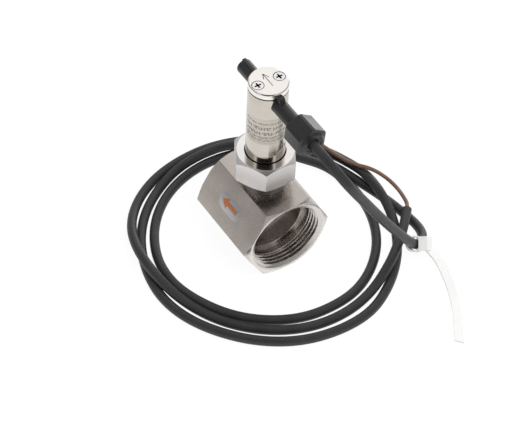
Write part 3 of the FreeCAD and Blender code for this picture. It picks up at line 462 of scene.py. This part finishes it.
def paint_gap_shade(name, height, above, within=None):
    """Paint shade into a material's colour above or below a height, for a gap or recess, and only
    within a radius of the axis if given.
    """
    tree = MATERIALS[name].node_tree
    shader = tree.nodes["Principled BSDF"]
    colour = shader.inputs["Base Color"].links[0].from_socket
    place = split(tree, add(tree, "ShaderNodeTexCoord").outputs["Object"])
    edge = GAP_SHADE_EDGE if above else -GAP_SHADE_EDGE
    mask = remap(tree, place["Z"], 0, 1, (height - edge) * MM, (height + edge) * MM)
    if within is not None:
        flat = add(tree, "ShaderNodeCombineXYZ")
        tree.links.new(place["X"], flat.inputs["X"])
        tree.links.new(place["Y"], flat.inputs["Y"])
        radius = calculate_vector(tree, "LENGTH", flat.outputs[0])
        inside = remap(tree, radius, 1, 0, (within - GAP_SHADE_FADE) * MM, within * MM)
        mask = calculate(tree, "MULTIPLY", mask, inside)
    tree.links.new(blend_colours(tree, mask, colour, PAINTED_GAP_SHADE), shader.inputs["Base Color"])


MATERIALS = {
    "body": steel("body_steel", (0.44, 0.395, 0.36), (0.57, 0.52, 0.475), 0.26, (0.9, 0.02, 0.9),
                  depth=0.0005, streaks=0.12, spread=0.03, turned=(0.80, 0.77, 0.74)),
    "neck": steel("neck_steel", (0.80, 0.77, 0.75), (0.90, 0.875, 0.86), 0.14, (0.05, 0.05, 2.5),
                  depth=0.001, dull=0.42),
    "housing": steel("housing_steel", (0.55, 0.505, 0.45), (0.64, 0.595, 0.535), 0.13,
                     (0.04, 0.04, 3.0), depth=0.001),
    "label": steel("label_film", (0.56, 0.515, 0.46), (0.64, 0.595, 0.535), 0.3, (0.04, 0.04, 3.0),
                   depth=0.001),
    "cap": steel("cap_steel", (0.92, 0.87, 0.83), (0.97, 0.93, 0.89), 0.26, (0.8, 0.04, 0.8),
                 depth=0.002),
    "screw": steel("screw_steel", (0.84, 0.82, 0.81), (0.92, 0.91, 0.90), 0.2, (1, 1, 1),
                   depth=0.003),
    "nipple": steel("nipple_steel", (0.40, 0.38, 0.36), (0.50, 0.48, 0.46), 0.2, (0.05, 0.05, 2.5),
                    depth=0.004),
    "weld": steel("weld_steel", (0.20, 0.18, 0.17), (0.34, 0.31, 0.29), 0.42, (0.9, 0.9, 0.9),
                  depth=0.08),
    "inner": steel("inner_steel", (0.52, 0.51, 0.50), (0.62, 0.61, 0.60), 0.3, (1.5, 1.5, 0.05)),
    "magnet": steel("magnet_plating", (0.55, 0.55, 0.57), (0.65, 0.65, 0.67), 0.22, (0.8, 0.8, 0.8)),
    "wire": steel("tinned_wire", (0.70, 0.62, 0.48), (0.80, 0.74, 0.62), 0.3, (2, 0.1, 2)),
    "film": steel("arrow_film_clear", (0.45, 0.43, 0.435), (0.54, 0.53, 0.55), 0.25, (0.9, 0.1, 0.9),
                  depth=0.0005, spread=0.03),
    "print": plastic("label_print", (0.035, 0.03, 0.026), (0.07, 0.06, 0.055), 0.5, 2.5, 0.005),
    "tube": plastic("tube_plastic", (0.014, 0.014, 0.014), (0.021, 0.021, 0.021), 0.42, depth=0.01),
    "gland": plastic("gland_plastic", (0.015, 0.015, 0.015), (0.022, 0.022, 0.022), 0.3, 2.2,
                     0.008),
    "cable": plastic("cable_jacket", (0.022, 0.0225, 0.0235), (0.031, 0.0315, 0.033), 0.48, 1.2,
                     0.02),
    "core": plastic("core_insulation", (0.15, 0.08, 0.055), (0.25, 0.14, 0.095), 0.36, 2, 0.02),
    "tie": plastic("tie_nylon", (0.90, 0.90, 0.89), (0.95, 0.95, 0.94), 0.4, 0.8, 0.004),
    "seal": plastic("seal_rubber", (0.01, 0.01, 0.01), (0.02, 0.02, 0.02), 0.6),
    "pale": plastic("inner_plastic", (0.66, 0.65, 0.60), (0.74, 0.73, 0.69), 0.42),
    "potting": plastic("potting_resin", (0.02, 0.02, 0.02), (0.05, 0.05, 0.05), 0.3),
    "arrow": plastic("arrow_print", (0.44, 0.135, 0.04), (0.62, 0.24, 0.09), 0.5, 2.5, 0.01, 0.35),
    "glass": glass("reed_glass", (0.6, 0.75, 0.66), (0.8, 0.9, 0.85)),
}

# Painted shade in gaps and recesses: material, height, whether the shaded side is above it, and the
# radius it keeps within
PAINTED_GAP_SHADES = (
    # Painted shade in the cap's engraving, countersinks and slot, under the cap, round the screw heads,
    # at the housing's top and in the neck's groove
    ("cap", CAP_TOP - 0.07, False, 9.7),
    ("cap", CAP_Z + 0.2, False, None),
    ("screw", CAP_TOP - 0.12, False, None),
    ("housing", HOUSING_TOP - 0.2, True, None),
    ("neck", NECK_TOP - 0.2, False, 11.1),
)
for shaded_gap in PAINTED_GAP_SHADES:
    paint_gap_shade(*shaded_gap)

# Materials of the CAD solids that show as they are
NODE_MATERIALS = {
    "flow_arrow": "arrow", "neck_nipple": "nipple", "weld_bead": "weld", "neck_gasket": "seal",
    "pivot_yoke": "inner", "pivot_pin": "inner", "pivot_spacers": "pale", "magnet_holder": "pale",
    "return_magnet": "magnet", "rocker_arm": "pale", "paddle_plate": "inner",
    "paddle_rivets": "inner", "pivot_bush": "pale", "rocker_magnet": "magnet",
    "reed_carrier": "pale", "reed_capsule": "glass", "reed_leads": "wire",
    "potting_plug": "potting", "connection_wires": "wire", "cable_seal": "seal", "cable_tie": "tie",
}


def paint_nodes():
    """Give the CAD solids their materials."""
    for node, name in NODE_MATERIALS.items():
        mesh = nodes[node].data
        mesh.materials.clear()
        mesh.materials.append(MATERIALS[name])


# Mesh helpers

def shifted(values, amount):
    """Each value of a list plus an amount."""
    return [value + amount for value in values]


def evenly(value, count):
    """A number as a list that repeats it; a list stays as it is."""
    return value if isinstance(value, list) else [value] * count


def ring(axis, centre, radii, places, angles):
    """Points around an axis; radius and place along it are one number, or a list around the ring."""
    u, v, w = AXES[axis]
    count = len(angles)
    return [(Vector(centre) + w * place + (u * math.cos(angle) + v * math.sin(angle)) * radius) * MM
            for radius, place, angle in zip(evenly(radii, count), evenly(places, count), angles)]


def rings(axis, centre, rows, angles):
    """A ring for each row of radius and place."""
    return [ring(axis, centre, radii, places, angles) for radii, places in rows]


def on_cylinder(radius, angle, z):
    """A point at an angle around the Z axis."""
    return Vector((radius * math.cos(angle), radius * math.sin(angle), z)) * MM


def skin(name, rows, loop=False):
    """Join rings of points with faces; the ends meet in a loop or are closed flat."""
    mesh = bpy.data.meshes.new(name)
    count = len(rows[0])
    faces = []
    for row in range(len(rows) if loop else len(rows) - 1):
        first = row * count
        second = (row + 1) % len(rows) * count
        for column in range(count):
            following = (column + 1) % count
            faces.append((first + column, first + following, second + following, second + column))
    if not loop:
        faces.append(tuple(range(count)))
        faces.append(tuple(range((len(rows) - 1) * count, len(rows) * count)))
    mesh.from_pydata([point for row in rows for point in row], [], faces)
    return settle(mesh)


def settle(mesh):
    """Point the faces outwards."""
    work = bmesh.new()
    work.from_mesh(mesh)
    bmesh.ops.recalc_face_normals(work, faces=work.faces)
    work.to_mesh(mesh)
    work.free()
    return mesh


def lathe(name, axis, centre, profile, segments):
    """Turn a profile of radius and height; both of its ends are closed."""
    angles = [TAU * step / segments for step in range(segments)]
    return skin(name, rings(axis, centre, profile, angles))


def turned_edge(radius, end, way, edge):
    """Profile of a turned edge, from rows of inset and distance from the end; way is 1 or -1."""
    return [(radius - inset, end + way * distance) for inset, distance in edge]


def box_mesh(name, low, high):
    """Box between two corners."""
    mesh = bpy.data.meshes.new(name)
    work = bmesh.new()
    size = Vector(high) - Vector(low)
    middle = (Vector(high) + Vector(low)) / 2
    place = Matrix.Translation(middle * MM) @ Matrix.Diagonal((*size * MM, 1))
    bmesh.ops.create_cube(work, size=1, matrix=place)
    work.to_mesh(mesh)
    work.free()
    return mesh


def modified(mesh, *steps):
    """Run modifiers over a mesh: each step is a kind and its settings."""
    temporary = [link(bpy.data.objects.new(mesh.name, mesh))]
    for kind, settings in steps:
        modifier = temporary[0].modifiers.new(kind, kind)
        for key, setting in settings.items():
            if key == "object":
                setting = link(bpy.data.objects.new("tool", setting))
                temporary.append(setting)
            setattr(modifier, key, setting)
    graph = bpy.context.evaluated_depsgraph_get()
    result = bpy.data.meshes.new_from_object(temporary[0].evaluated_get(graph))
    for obj in temporary:
        bpy.data.objects.remove(obj)
    return result


def boolean(operation, mesh, *tools):
    """Cut solids out of a mesh, or join them to it, one after another."""
    return modified(mesh, *[("BOOLEAN", {"operation": operation, "solver": "EXACT", "object": tool})
                            for tool in tools])


def rounded(mesh):
    """Round the edges of a moulded block."""
    return modified(mesh, ("BEVEL", {"width": MOULD_ROUND * MM, "segments": MOULD_STEPS,
                                     "limit_method": "ANGLE", "angle_limit": MOULD_ANGLE}))


def joined_meshes(name, meshes):
    """Put separate meshes into one, without changing them."""
    work = bmesh.new()
    for mesh in meshes:
        work.from_mesh(mesh)
    result = bpy.data.meshes.new(name)
    work.to_mesh(result)
    work.free()
    return result


def stand_in(name, data, body, node):
    """Make an object that rides on a body and stands for a CAD node."""
    obj = link(bpy.data.objects.new(name, data))
    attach(obj, body)
    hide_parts(node)
    return obj


def piece(name, mesh, material, body, node):
    """Make an object of a mesh, smooth but for its sharp edges, that stands for a CAD node."""
    mesh.polygons.foreach_set("use_smooth", [True] * len(mesh.polygons))
    mesh.set_sharp_from_angle(angle=SHARP_ANGLE)
    mesh.materials.clear()
    mesh.materials.append(MATERIALS[material])
    return stand_in(name, mesh, body, node)


def hexagon(flats, corner_radius, first_corner=0.0):
    """Angles around a hexagon with rounded corners, and its radius at each of them."""
    inner = flats / 2
    centre = (inner - corner_radius) / math.cos(HEX_ANGLE)
    tangent = math.atan2(corner_radius / 2, centre + corner_radius * math.cos(HEX_ANGLE))
    flat = TAU / 6 - 2 * tangent
    steps = [tangent * (2 * step / CORNER_STEPS - 1) for step in range(CORNER_STEPS + 1)]
    steps += [tangent + flat * step / FLAT_STEPS for step in range(1, FLAT_STEPS)]
    angles = []
    radii = []
    for corner in range(6):
        start = math.radians(first_corner) + corner * TAU / 6
        for step in steps:
            angles.append(start + step)
            if step <= tangent:
                rise = math.sqrt(corner_radius ** 2 - (centre * math.sin(step)) ** 2)
                radii.append(centre * math.cos(step) + rise)
            else:
                radii.append(inner / math.cos(step - HEX_ANGLE))
    return angles, radii


# Pieces of the pipe body and the neck

def thread_groove(along, angle):
    """Depth of the screw thread at one point, from 0 on the flat crests to 1 at the roots."""
    phase = (along / THREAD_PITCH - angle / TAU) % 1
    return min(max(abs(2 * phase - 1) * THREAD_STEEPNESS - THREAD_FLAT, 0), 1)


def make_pipe_body():
    """Hexagonal bar with turned corners, and screw threads in both ends."""
    angles, flats = hexagon(BODY_AF, BODY_CORNER)
    centre = (0, 0, AXIS_Z)
    turns = [(min(BODY_FACE, radius), max(radius - BODY_FACE, 0)) for radius in flats]
    outside = [([face + turn * share - inset for face, turn in turns],
                [turn * HEX_SLOPE * share + depth for _, turn in turns])
               for share, inset, depth in BODY_EDGE]

    def socket(side):
        """Radius and depth from the end face through the thread to the bore."""
        rows = [(THREAD_ENTRY + outset, depth) for outset, depth in SOCKET_RIM]
        for step in range(1, THREAD_STEPS + 1):
            depth = THREAD_DEPTH * step / THREAD_STEPS
            fade = min(1, max(0, (THREAD_RUN - depth) / THREAD_FADE))
            lead = THREAD_ENTRY - depth * (THREAD_ENTRY - THREAD_CREST) / THREAD_LEAD
            rise = (THREAD_ROOT - THREAD_CREST) * fade
            rows.append(([max(THREAD_CREST + rise * thread_groove(depth, side * angle), lead)
                          for angle in angles], depth))
        rows.append((INNER_BORE + BORE_BEVEL, THREAD_DEPTH))
        rows.append((INNER_BORE, THREAD_DEPTH + BORE_BEVEL))
        return rows

    def at_end(side, rows):
        """Rings of one end, from rows of radius and depth under its face."""
        return [ring("Y", centre, radii,
                     [side * (BODY_HALF - depth) for depth in evenly(depths, len(angles))], angles)
                for radii, depths in rows]

    rows = at_end(-1, outside) + at_end(1, outside)[::-1]
    rows += at_end(1, socket(1)) + at_end(-1, socket(-1))[::-1]
    mesh = skin("pipe_body_steel", rows, loop=True)
    port = lathe("port", "Z", ORIGIN, [(PORT, AXIS_Z), (PORT, BODY_AF + CLEAR)], COARSE)
    piece("pipe_body_steel", boolean("DIFFERENCE", mesh, port), "body", "base",
          "pipe_body")


def make_neck():
    """Hexagon under the housing, with turned corners and a groove around the housing."""
    angles, flats = hexagon(NECK_AF, NECK_CORNER)
    low = [NECK_Z + (radius - NECK_FACE) * HEX_SLOPE for radius in flats]
    high = [NECK_TOP - (radius - NECK_FACE) * HEX_SLOPE for radius in flats]
    rows = [(NECK_BORE, NECK_Z)]
    rows += [(NECK_FACE + outset, NECK_Z + depth) for outset, depth in NECK_FOOT]
    rows += [(shifted(flats, -inset), shifted(low, rise)) for inset, rise in NECK_EDGE]
    rows += [(shifted(flats, -inset), shifted(high, -drop)) for inset, drop in NECK_EDGE[::-1]]
    rows += [(NECK_FACE + outset, NECK_TOP - depth) for outset, depth in NECK_HEAD]
    rows += [(radius, NECK_TOP - depth) for radius, depth in NECK_GROOVE]
    rows += [(NECK_SOCKET, HOUSING_Z), (NECK_BORE, HOUSING_Z)]
    mesh = skin("neck_hexagon_steel", rings("Z", ORIGIN, rows, angles), loop=True)
    piece("neck_hexagon_steel", mesh, "neck", "base", "neck_hexagon")


def make_film():
    """Clear film with rounded ends on the flat that carries the flow arrow."""
    normal = Vector((-math.sin(FLAT_TILT), 0, math.cos(FLAT_TILT)))
    upward = Vector((math.cos(FLAT_TILT), 0, math.sin(FLAT_TILT)))
    centre = Vector((0, FILM_Y, AXIS_Z)) + normal * AXIS_Z
    outline = []
    for step in range(FILM_STEPS):
        angle = TAU * step / FILM_STEPS
        outline.append([half * math.copysign(abs(share) ** FILM_POWER, share)
                        for half, share in zip(FILM_HALVES, (math.cos(angle), math.sin(angle)))])
    rows = [[(centre + normal * lift + Vector((0, along, 0)) * scale + upward * across * scale) * MM
             for along, across in outline] for lift, scale in FILM_RINGS]
    piece("arrow_film_clear", skin("arrow_film_clear", rows), "film", "base", "arrow_film")


# Pieces of the head

def make_housing():
    """Turned housing, cut through for the reed tube, its rib and its key."""
    profile = [(TIP, BORE_TOP), (HOUSING_BORE, BORE_TOP), (HOUSING_BORE, HOUSING_Z),
               *turned_edge(HOUSING, HOUSING_Z, 1, HOUSING_FOOT),
               *turned_edge(HOUSING, HOUSING_TOP, -1, HOUSING_EDGE), (TIP, HOUSING_TOP)]
    mesh = lathe("sensor_housing_steel", "Z", ORIGIN, profile, FINE)
    bore = [(TUBE + BORE_GAP, -THROUGH), (TUBE + BORE_GAP, THROUGH)]
    top = HOUSING_TOP + CLEAR
    tools = [lathe("bore", "Y", (0, 0, TUBE_Z), bore, MEDIUM),
             box_mesh("rib_slot", (-RIB_SLOT, -THROUGH, TUBE_Z), (RIB_SLOT, THROUGH, top)),
             box_mesh("key_slot", (-KEY_SLOT, -THROUGH, TUBE_Z), (KEY_SLOT, KEY_SLOT_BACK, top))]
    piece("sensor_housing_steel", boolean("DIFFERENCE", mesh, *tools), "housing", "base",
          "sensor_housing")


def make_label():
    """Thin label bent around the housing, with rounded corners."""
    mesh = bpy.data.meshes.new("housing_label_film")
    verts = []
    for lift in LABEL_LIFTS:
        for row in range(LABEL_ROWS + 1):
            rise = 0.5 - 0.5 * math.cos(math.pi * row / LABEL_ROWS)
            z = LABEL_Z + (LABEL_TOP - LABEL_Z) * rise
            edge = min(z - LABEL_Z, LABEL_TOP - z, LABEL_CORNER)
            inset = LABEL_CORNER - math.sqrt(max(LABEL_CORNER ** 2 - (LABEL_CORNER - edge) ** 2, 0))
            reach = LABEL_HALF - inset / HOUSING
            for column in range(LABEL_COLUMNS + 1):
                angle = LABEL_MIDDLE + reach * (2 * column / LABEL_COLUMNS - 1)
                verts.append(on_cylinder(HOUSING + lift, angle, z))
    width = LABEL_COLUMNS + 1
    layer = width * (LABEL_ROWS + 1)
    faces = []
    for row in range(LABEL_ROWS):
        for column in range(LABEL_COLUMNS):
            first = row * width + column
            second = first + width
            faces.append((first, second, second + 1, first + 1))
            faces.append(tuple(shifted((first, first + 1, second + 1, second), layer)))
    border = list(range(LABEL_COLUMNS))
    border += [row * width + LABEL_COLUMNS for row in range(LABEL_ROWS)]
    border += [LABEL_ROWS * width + column for column in range(LABEL_COLUMNS, 0, -1)]
    border += [row * width for row in range(LABEL_ROWS, 0, -1)]
    for index, start in enumerate(border):
        end = border[(index + 1) % len(border)]
        faces.append((start, end, layer + end, layer + start))
    mesh.from_pydata(verts, [], faces)
    print_marks(mesh)
    label = piece("housing_label_film", settle(mesh), "label", "base", "housing_label")
    label.data.materials.append(MATERIALS["print"])
    for mark in label.data.polygons[len(faces):]:
        mark.material_index = 1


def print_marks(mesh):
    """Rows of plain strokes on the label, in place of its print."""
    work = bmesh.new()
    work.from_mesh(mesh)
    for row, (middle, height) in enumerate(MARK_ROWS):
        angle = MARK_START
        stroke = 2 * row
        for group in range(row, row + len(MARK_GROUPS)):
            for _ in range(MARK_GROUPS[group % len(MARK_GROUPS)]):
                end = angle + MARK_WIDTH * height / HOUSING
                low, high = [middle + (share - 0.5) * height
                             for share in MARK_STROKES[stroke % len(MARK_STROKES)]]
                corners = ((angle, low), (end, low), (end, high), (angle, high))
                if end < MARK_END:
                    work.faces.new([work.verts.new(on_cylinder(MARK_RADIUS, turn, z))
                                    for turn, z in corners])
                angle = end + MARK_GAP * height / HOUSING
                stroke += 1
            angle += MARK_SPACE * height / HOUSING
    work.to_mesh(mesh)
    work.free()


def make_cap():
    """Clamp cap with its slot, countersinks and engraved arrow."""
    profile = [(TIP, CAP_Z), *turned_edge(HOUSING, CAP_Z, 1, CAP_FOOT),
               *turned_edge(HOUSING, CAP_TOP, -1, CAP_EDGE), (TIP, CAP_TOP)]
    mesh = lathe("clamp_cap_steel", "Z", ORIGIN, profile, FINE)
    tools = [box_mesh("slot", (-KEY_SLOT, -THROUGH, CAP_Z - CLEAR),
                      (KEY_SLOT, KEY_SLOT_BACK, KEY_TOP + SLIDE_GAP))]
    hole = SCREW_SHANK + SCREW_GAP
    rim = SCREW_HEAD + SINK_GAP
    sink = [(hole, CAP_Z - CLEAR), (hole, CONE_Z), (rim, CAP_TOP - SINK_RIM), (rim, CAP_TOP + CLEAR)]
    tools += [lathe("sink", "Z", (x, 0, 0), sink, COARSE) for x in SCREWS_X]
    tools += engraving()
    piece("clamp_cap_steel", boolean("DIFFERENCE", mesh, *tools), "cap", "base",
          "clamp_cap")


def engraving():
    """Tools that engrave the arrow in the cap: its shaft and two barbs."""
    floor = CAP_TOP - ENGRAVED_DEPTH
    top = CAP_TOP + CLEAR
    tools = [box_mesh("shaft", (-ENGRAVED_HALF, ARROW_TAIL, floor),
                      (ENGRAVED_HALF, ARROW_TIP - SHAFT_SHORT, top))]
    for side in (-1, 1):
        barb = box_mesh("barb", (-ENGRAVED_HALF, 0, floor), (ENGRAVED_HALF, BARB_LENGTH, top))
        turn = Matrix.Rotation(math.pi + side * BARB_ANGLE, 4, "Z")
        barb.transform(Matrix.Translation(Vector((0, ARROW_TIP, 0)) * MM) @ turn)
        tools.append(barb)
    return tools


def make_screws():
    """The two countersunk screws of the cap, each with a cross recess."""
    foot = CAP_TOP - SCREW_LENGTH
    profile = [(TIP, foot), *turned_edge(SCREW_SHANK, foot, 1, SCREW_FOOT), (SCREW_SHANK, CONE_Z),
               *turned_edge(SCREW_HEAD, CAP_TOP, -1, SCREW_EDGE), (TIP, CAP_TOP)]
    screws = []
    for x in SCREWS_X:
        screw = lathe("screw", "Z", (x, 0, 0), profile, COARSE)
        arms = [cross_arm(x, CROSS_LENGTH, CROSS_HALF), cross_arm(x, CROSS_HALF, CROSS_LENGTH)]
        screws.append(boolean("DIFFERENCE", screw, *arms))
    both = joined_meshes("cap_screws_steel", screws)
    piece("cap_screws_steel", both, "screw", "base", "cap_screws")


def cross_arm(x, across, along):
    """One arm of a cross recess, narrower at its floor."""
    arm = box_mesh("arm", (x - across, -along, CAP_TOP - CROSS_DEPTH),
                   (x + across, along, CAP_TOP + CROSS_RISE))
    for vertex in arm.vertices:
        if vertex.co.z < CAP_TOP * MM:
            vertex.co.x = x * MM + (vertex.co.x - x * MM) * CROSS_TAPER
            vertex.co.y *= CROSS_TAPER
    return arm


def make_reed_tube():
    """Plastic tube with a rounded closed end, a guide rib and a stop key."""
    end = TUBE_BACK - TUBE_END
    profile = [(TIP, end), (TUBE_BORE, end), (TUBE_BORE, TUBE_FRONT),
               *turned_edge(TUBE, TUBE_FRONT, 1, TUBE_FOOT),
               *turned_edge(TUBE, TUBE_BACK, -1, TUBE_EDGE), (TIP, TUBE_BACK)]
    mesh = lathe("reed_tube_plastic", "Y", (0, 0, TUBE_Z), profile, MEDIUM)
    root = TUBE_Z + RIB_ROOT
    rib = box_mesh("rib", (-RIB_HALF, RIB_FRONT, root), (RIB_HALF, TUBE_BACK - RIB_SHORT, RIB_TOP))
    key = box_mesh("key", (-KEY_HALF, KEY_FRONT, root), (KEY_HALF, KEY_BACK, KEY_TOP))
    for vertex in key.vertices:
        if vertex.co.y < RIB_FRONT * MM and vertex.co.z > RIB_TOP * MM:
            vertex.co.y += KEY_SLOPE * MM
    solid = boolean("UNION", mesh, rounded(rib), rounded(key))
    piece("reed_tube_plastic", solid, "tube", "reed_slide", "reed_tube")


def make_gland():
    """Gland nut: hexagon with rounded corners and edges, a stepped front and the cable's mouth."""
    angles, flats = hexagon(GLAND_AF, GLAND_CORNER, GLAND_TURN)
    flats = [min(radius, GLAND_ROUND) for radius in flats]
    hex_front = GLAND_FRONT + GLAND_STEP
    rows = [(TUBE + GLAND_BACK_GAP, GLAND_BACK), (GLAND_FACE, GLAND_BACK)]
    rows += [(shifted(flats, -inset), GLAND_BACK - depth) for inset, depth in GLAND_BACK_EDGE]
    rows += [(shifted(flats, -inset), hex_front + depth) for inset, depth in GLAND_FRONT_EDGE]
    rows += [(radius, hex_front - rise) for radius, rise in GLAND_COLLAR]
    rows += [(radius, GLAND_FRONT + depth) for radius, depth in GLAND_MOUTH]
    rows += [(GLAND_CHAMBER, TUBE_FRONT), (TUBE + GLAND_FRONT_GAP, TUBE_FRONT)]
    mesh = skin("gland_nut_plastic", rings("Y", (0, 0, TUBE_Z), rows, angles), loop=True)
    piece("gland_nut_plastic", mesh, "gland", "reed_slide", "gland_nut")


# Cords

def make_cord(name, route, diameter, material, node):
    """A round cord on one smooth line through its route."""
    curve = bpy.data.curves.new(name, "CURVE")
    curve.dimensions = "3D"
    spline = curve.splines.new("NURBS")
    spline.points.add(len(route) - 1)
    for point, place in zip(spline.points, route):
        point.co = (*[number * MM for number in place], 1)
    spline.order_u = 3
    spline.use_endpoint_u = True
    spline.resolution_u = 10
    curve.bevel_depth = diameter / 2 * MM
    curve.bevel_resolution = 8
    curve.use_fill_caps = True
    curve.materials.append(MATERIALS[material])
    return stand_in(name, curve, "reed_slide", node)


def make_cords():
    """The cable, and the core that leaves its cut end."""
    cable = make_cord("cable_jacket", CABLE_ROUTE, CABLE_DIA, "cable", "cable")
    core = make_cord("core_insulation", CORE_ROUTE, CORE_DIA, "core", "brown_core")


# Studio

def make_floor():
    """White floor that keeps a faint shadow."""
    material, tree, shader = new_material("floor")
    output = tree.nodes["Material Output"]
    tree.nodes.remove(shader)
    diffuse = add(tree, "ShaderNodeBsdfDiffuse", Color=FLOOR_SHADE)
    glow = add(tree, "ShaderNodeEmission", Color=(1, 1, 1, 1), Strength=FLOOR_GLOW)
    mix = add(tree, "ShaderNodeMixShader")
    path = add(tree, "ShaderNodeLightPath")
    seen = path.outputs["Is Camera Ray"]
    for name in ("Is Glossy Ray", "Is Transmission Ray"):
        seen = calculate(tree, "MAXIMUM", seen, path.outputs[name])
    share = calculate(tree, "MULTIPLY", seen, FLOOR_GLOW_SHARE)
    for source, socket in zip((share, diffuse.outputs[0], glow.outputs[0]), mix.inputs):
        tree.links.new(source, socket)
    tree.links.new(mix.outputs[0], output.inputs["Surface"])
    mesh = bpy.data.meshes.new("floor")
    corners = ((-1, -1, 0), (1, -1, 0), (1, 1, 0), (-1, 1, 0))
    mesh.from_pydata([Vector(corner) * FLOOR_REACH for corner in corners], [], [(0, 1, 2, 3)])
    mesh.materials.append(material)
    floor = link(bpy.data.objects.new("floor", mesh))
    floor.location.z = -FLOOR_DROP


def shades(tree, direction, stops):
    """Shades of grey by how far a view of the world points towards a direction."""
    place = add(tree, "ShaderNodeTexCoord").outputs["Generated"]
    dot = calculate_vector(tree, "DOT_PRODUCT", place, Vector(direction).normalized())
    ramp = tree.nodes.new("ShaderNodeValToRGB")
    while len(ramp.color_ramp.elements) < len(stops):
        ramp.color_ramp.elements.new(0.5)
    for element, (position, shade) in zip(ramp.color_ramp.elements, stops):
        element.position = position
        element.color = (shade, shade, shade, 1)
    tree.links.new(remap(tree, dot, 0, 1, -1, 1), ramp.inputs["Fac"])
    return ramp.outputs["Color"]


def make_world():
    """White to the camera; a room to everything else, bright at the far side, with a bright ring
    around the dark place behind the camera."""
    world = bpy.data.worlds.new("studio")
    world.use_nodes = True
    scene.world = world
    tree = world.node_tree
    background = tree.nodes["Background"]
    room = shades(tree, (0, 0, 1), ROOM_SHADES)
    window = shades(tree, WINDOW, WINDOW_SHADES)
    behind = shades(tree, BACK, BEHIND_SHADES)
    light = calculate_vector(tree, "MULTIPLY", calculate_vector(tree, "ADD", room, window), behind)
    path = add(tree, "ShaderNodeLightPath")
    colour = blend_colours(tree, path.outputs["Is Camera Ray"], light, BACKDROP)
    tree.links.new(colour, background.inputs["Color"])
    background.inputs["Strength"].default_value = WORLD_STRENGTH


def make_lamp(name, place, target, size, power, mirrored):
    """A rectangular lamp that points at a target."""
    data = bpy.data.lights.new(name, "AREA")
    data.shape = "RECTANGLE"
    data.size, data.size_y = size
    data.energy = power
    lamp = link(bpy.data.objects.new(name, data))
    lamp.visible_glossy = mirrored
    lamp.location = place
    lamp.rotation_euler = (Vector(target) - Vector(place)).to_track_quat("-Z", "Y").to_euler()


make_camera()
make_cords()
paint_nodes()
make_pipe_body()
make_neck()
make_housing()
make_label()
make_cap()
make_screws()
make_reed_tube()
make_gland()
make_film()
make_floor()
make_world()
for lamp_name, lamp_settings in LAMPS.items():
    make_lamp(lamp_name, *lamp_settings)

bpy.context.view_layer.update()
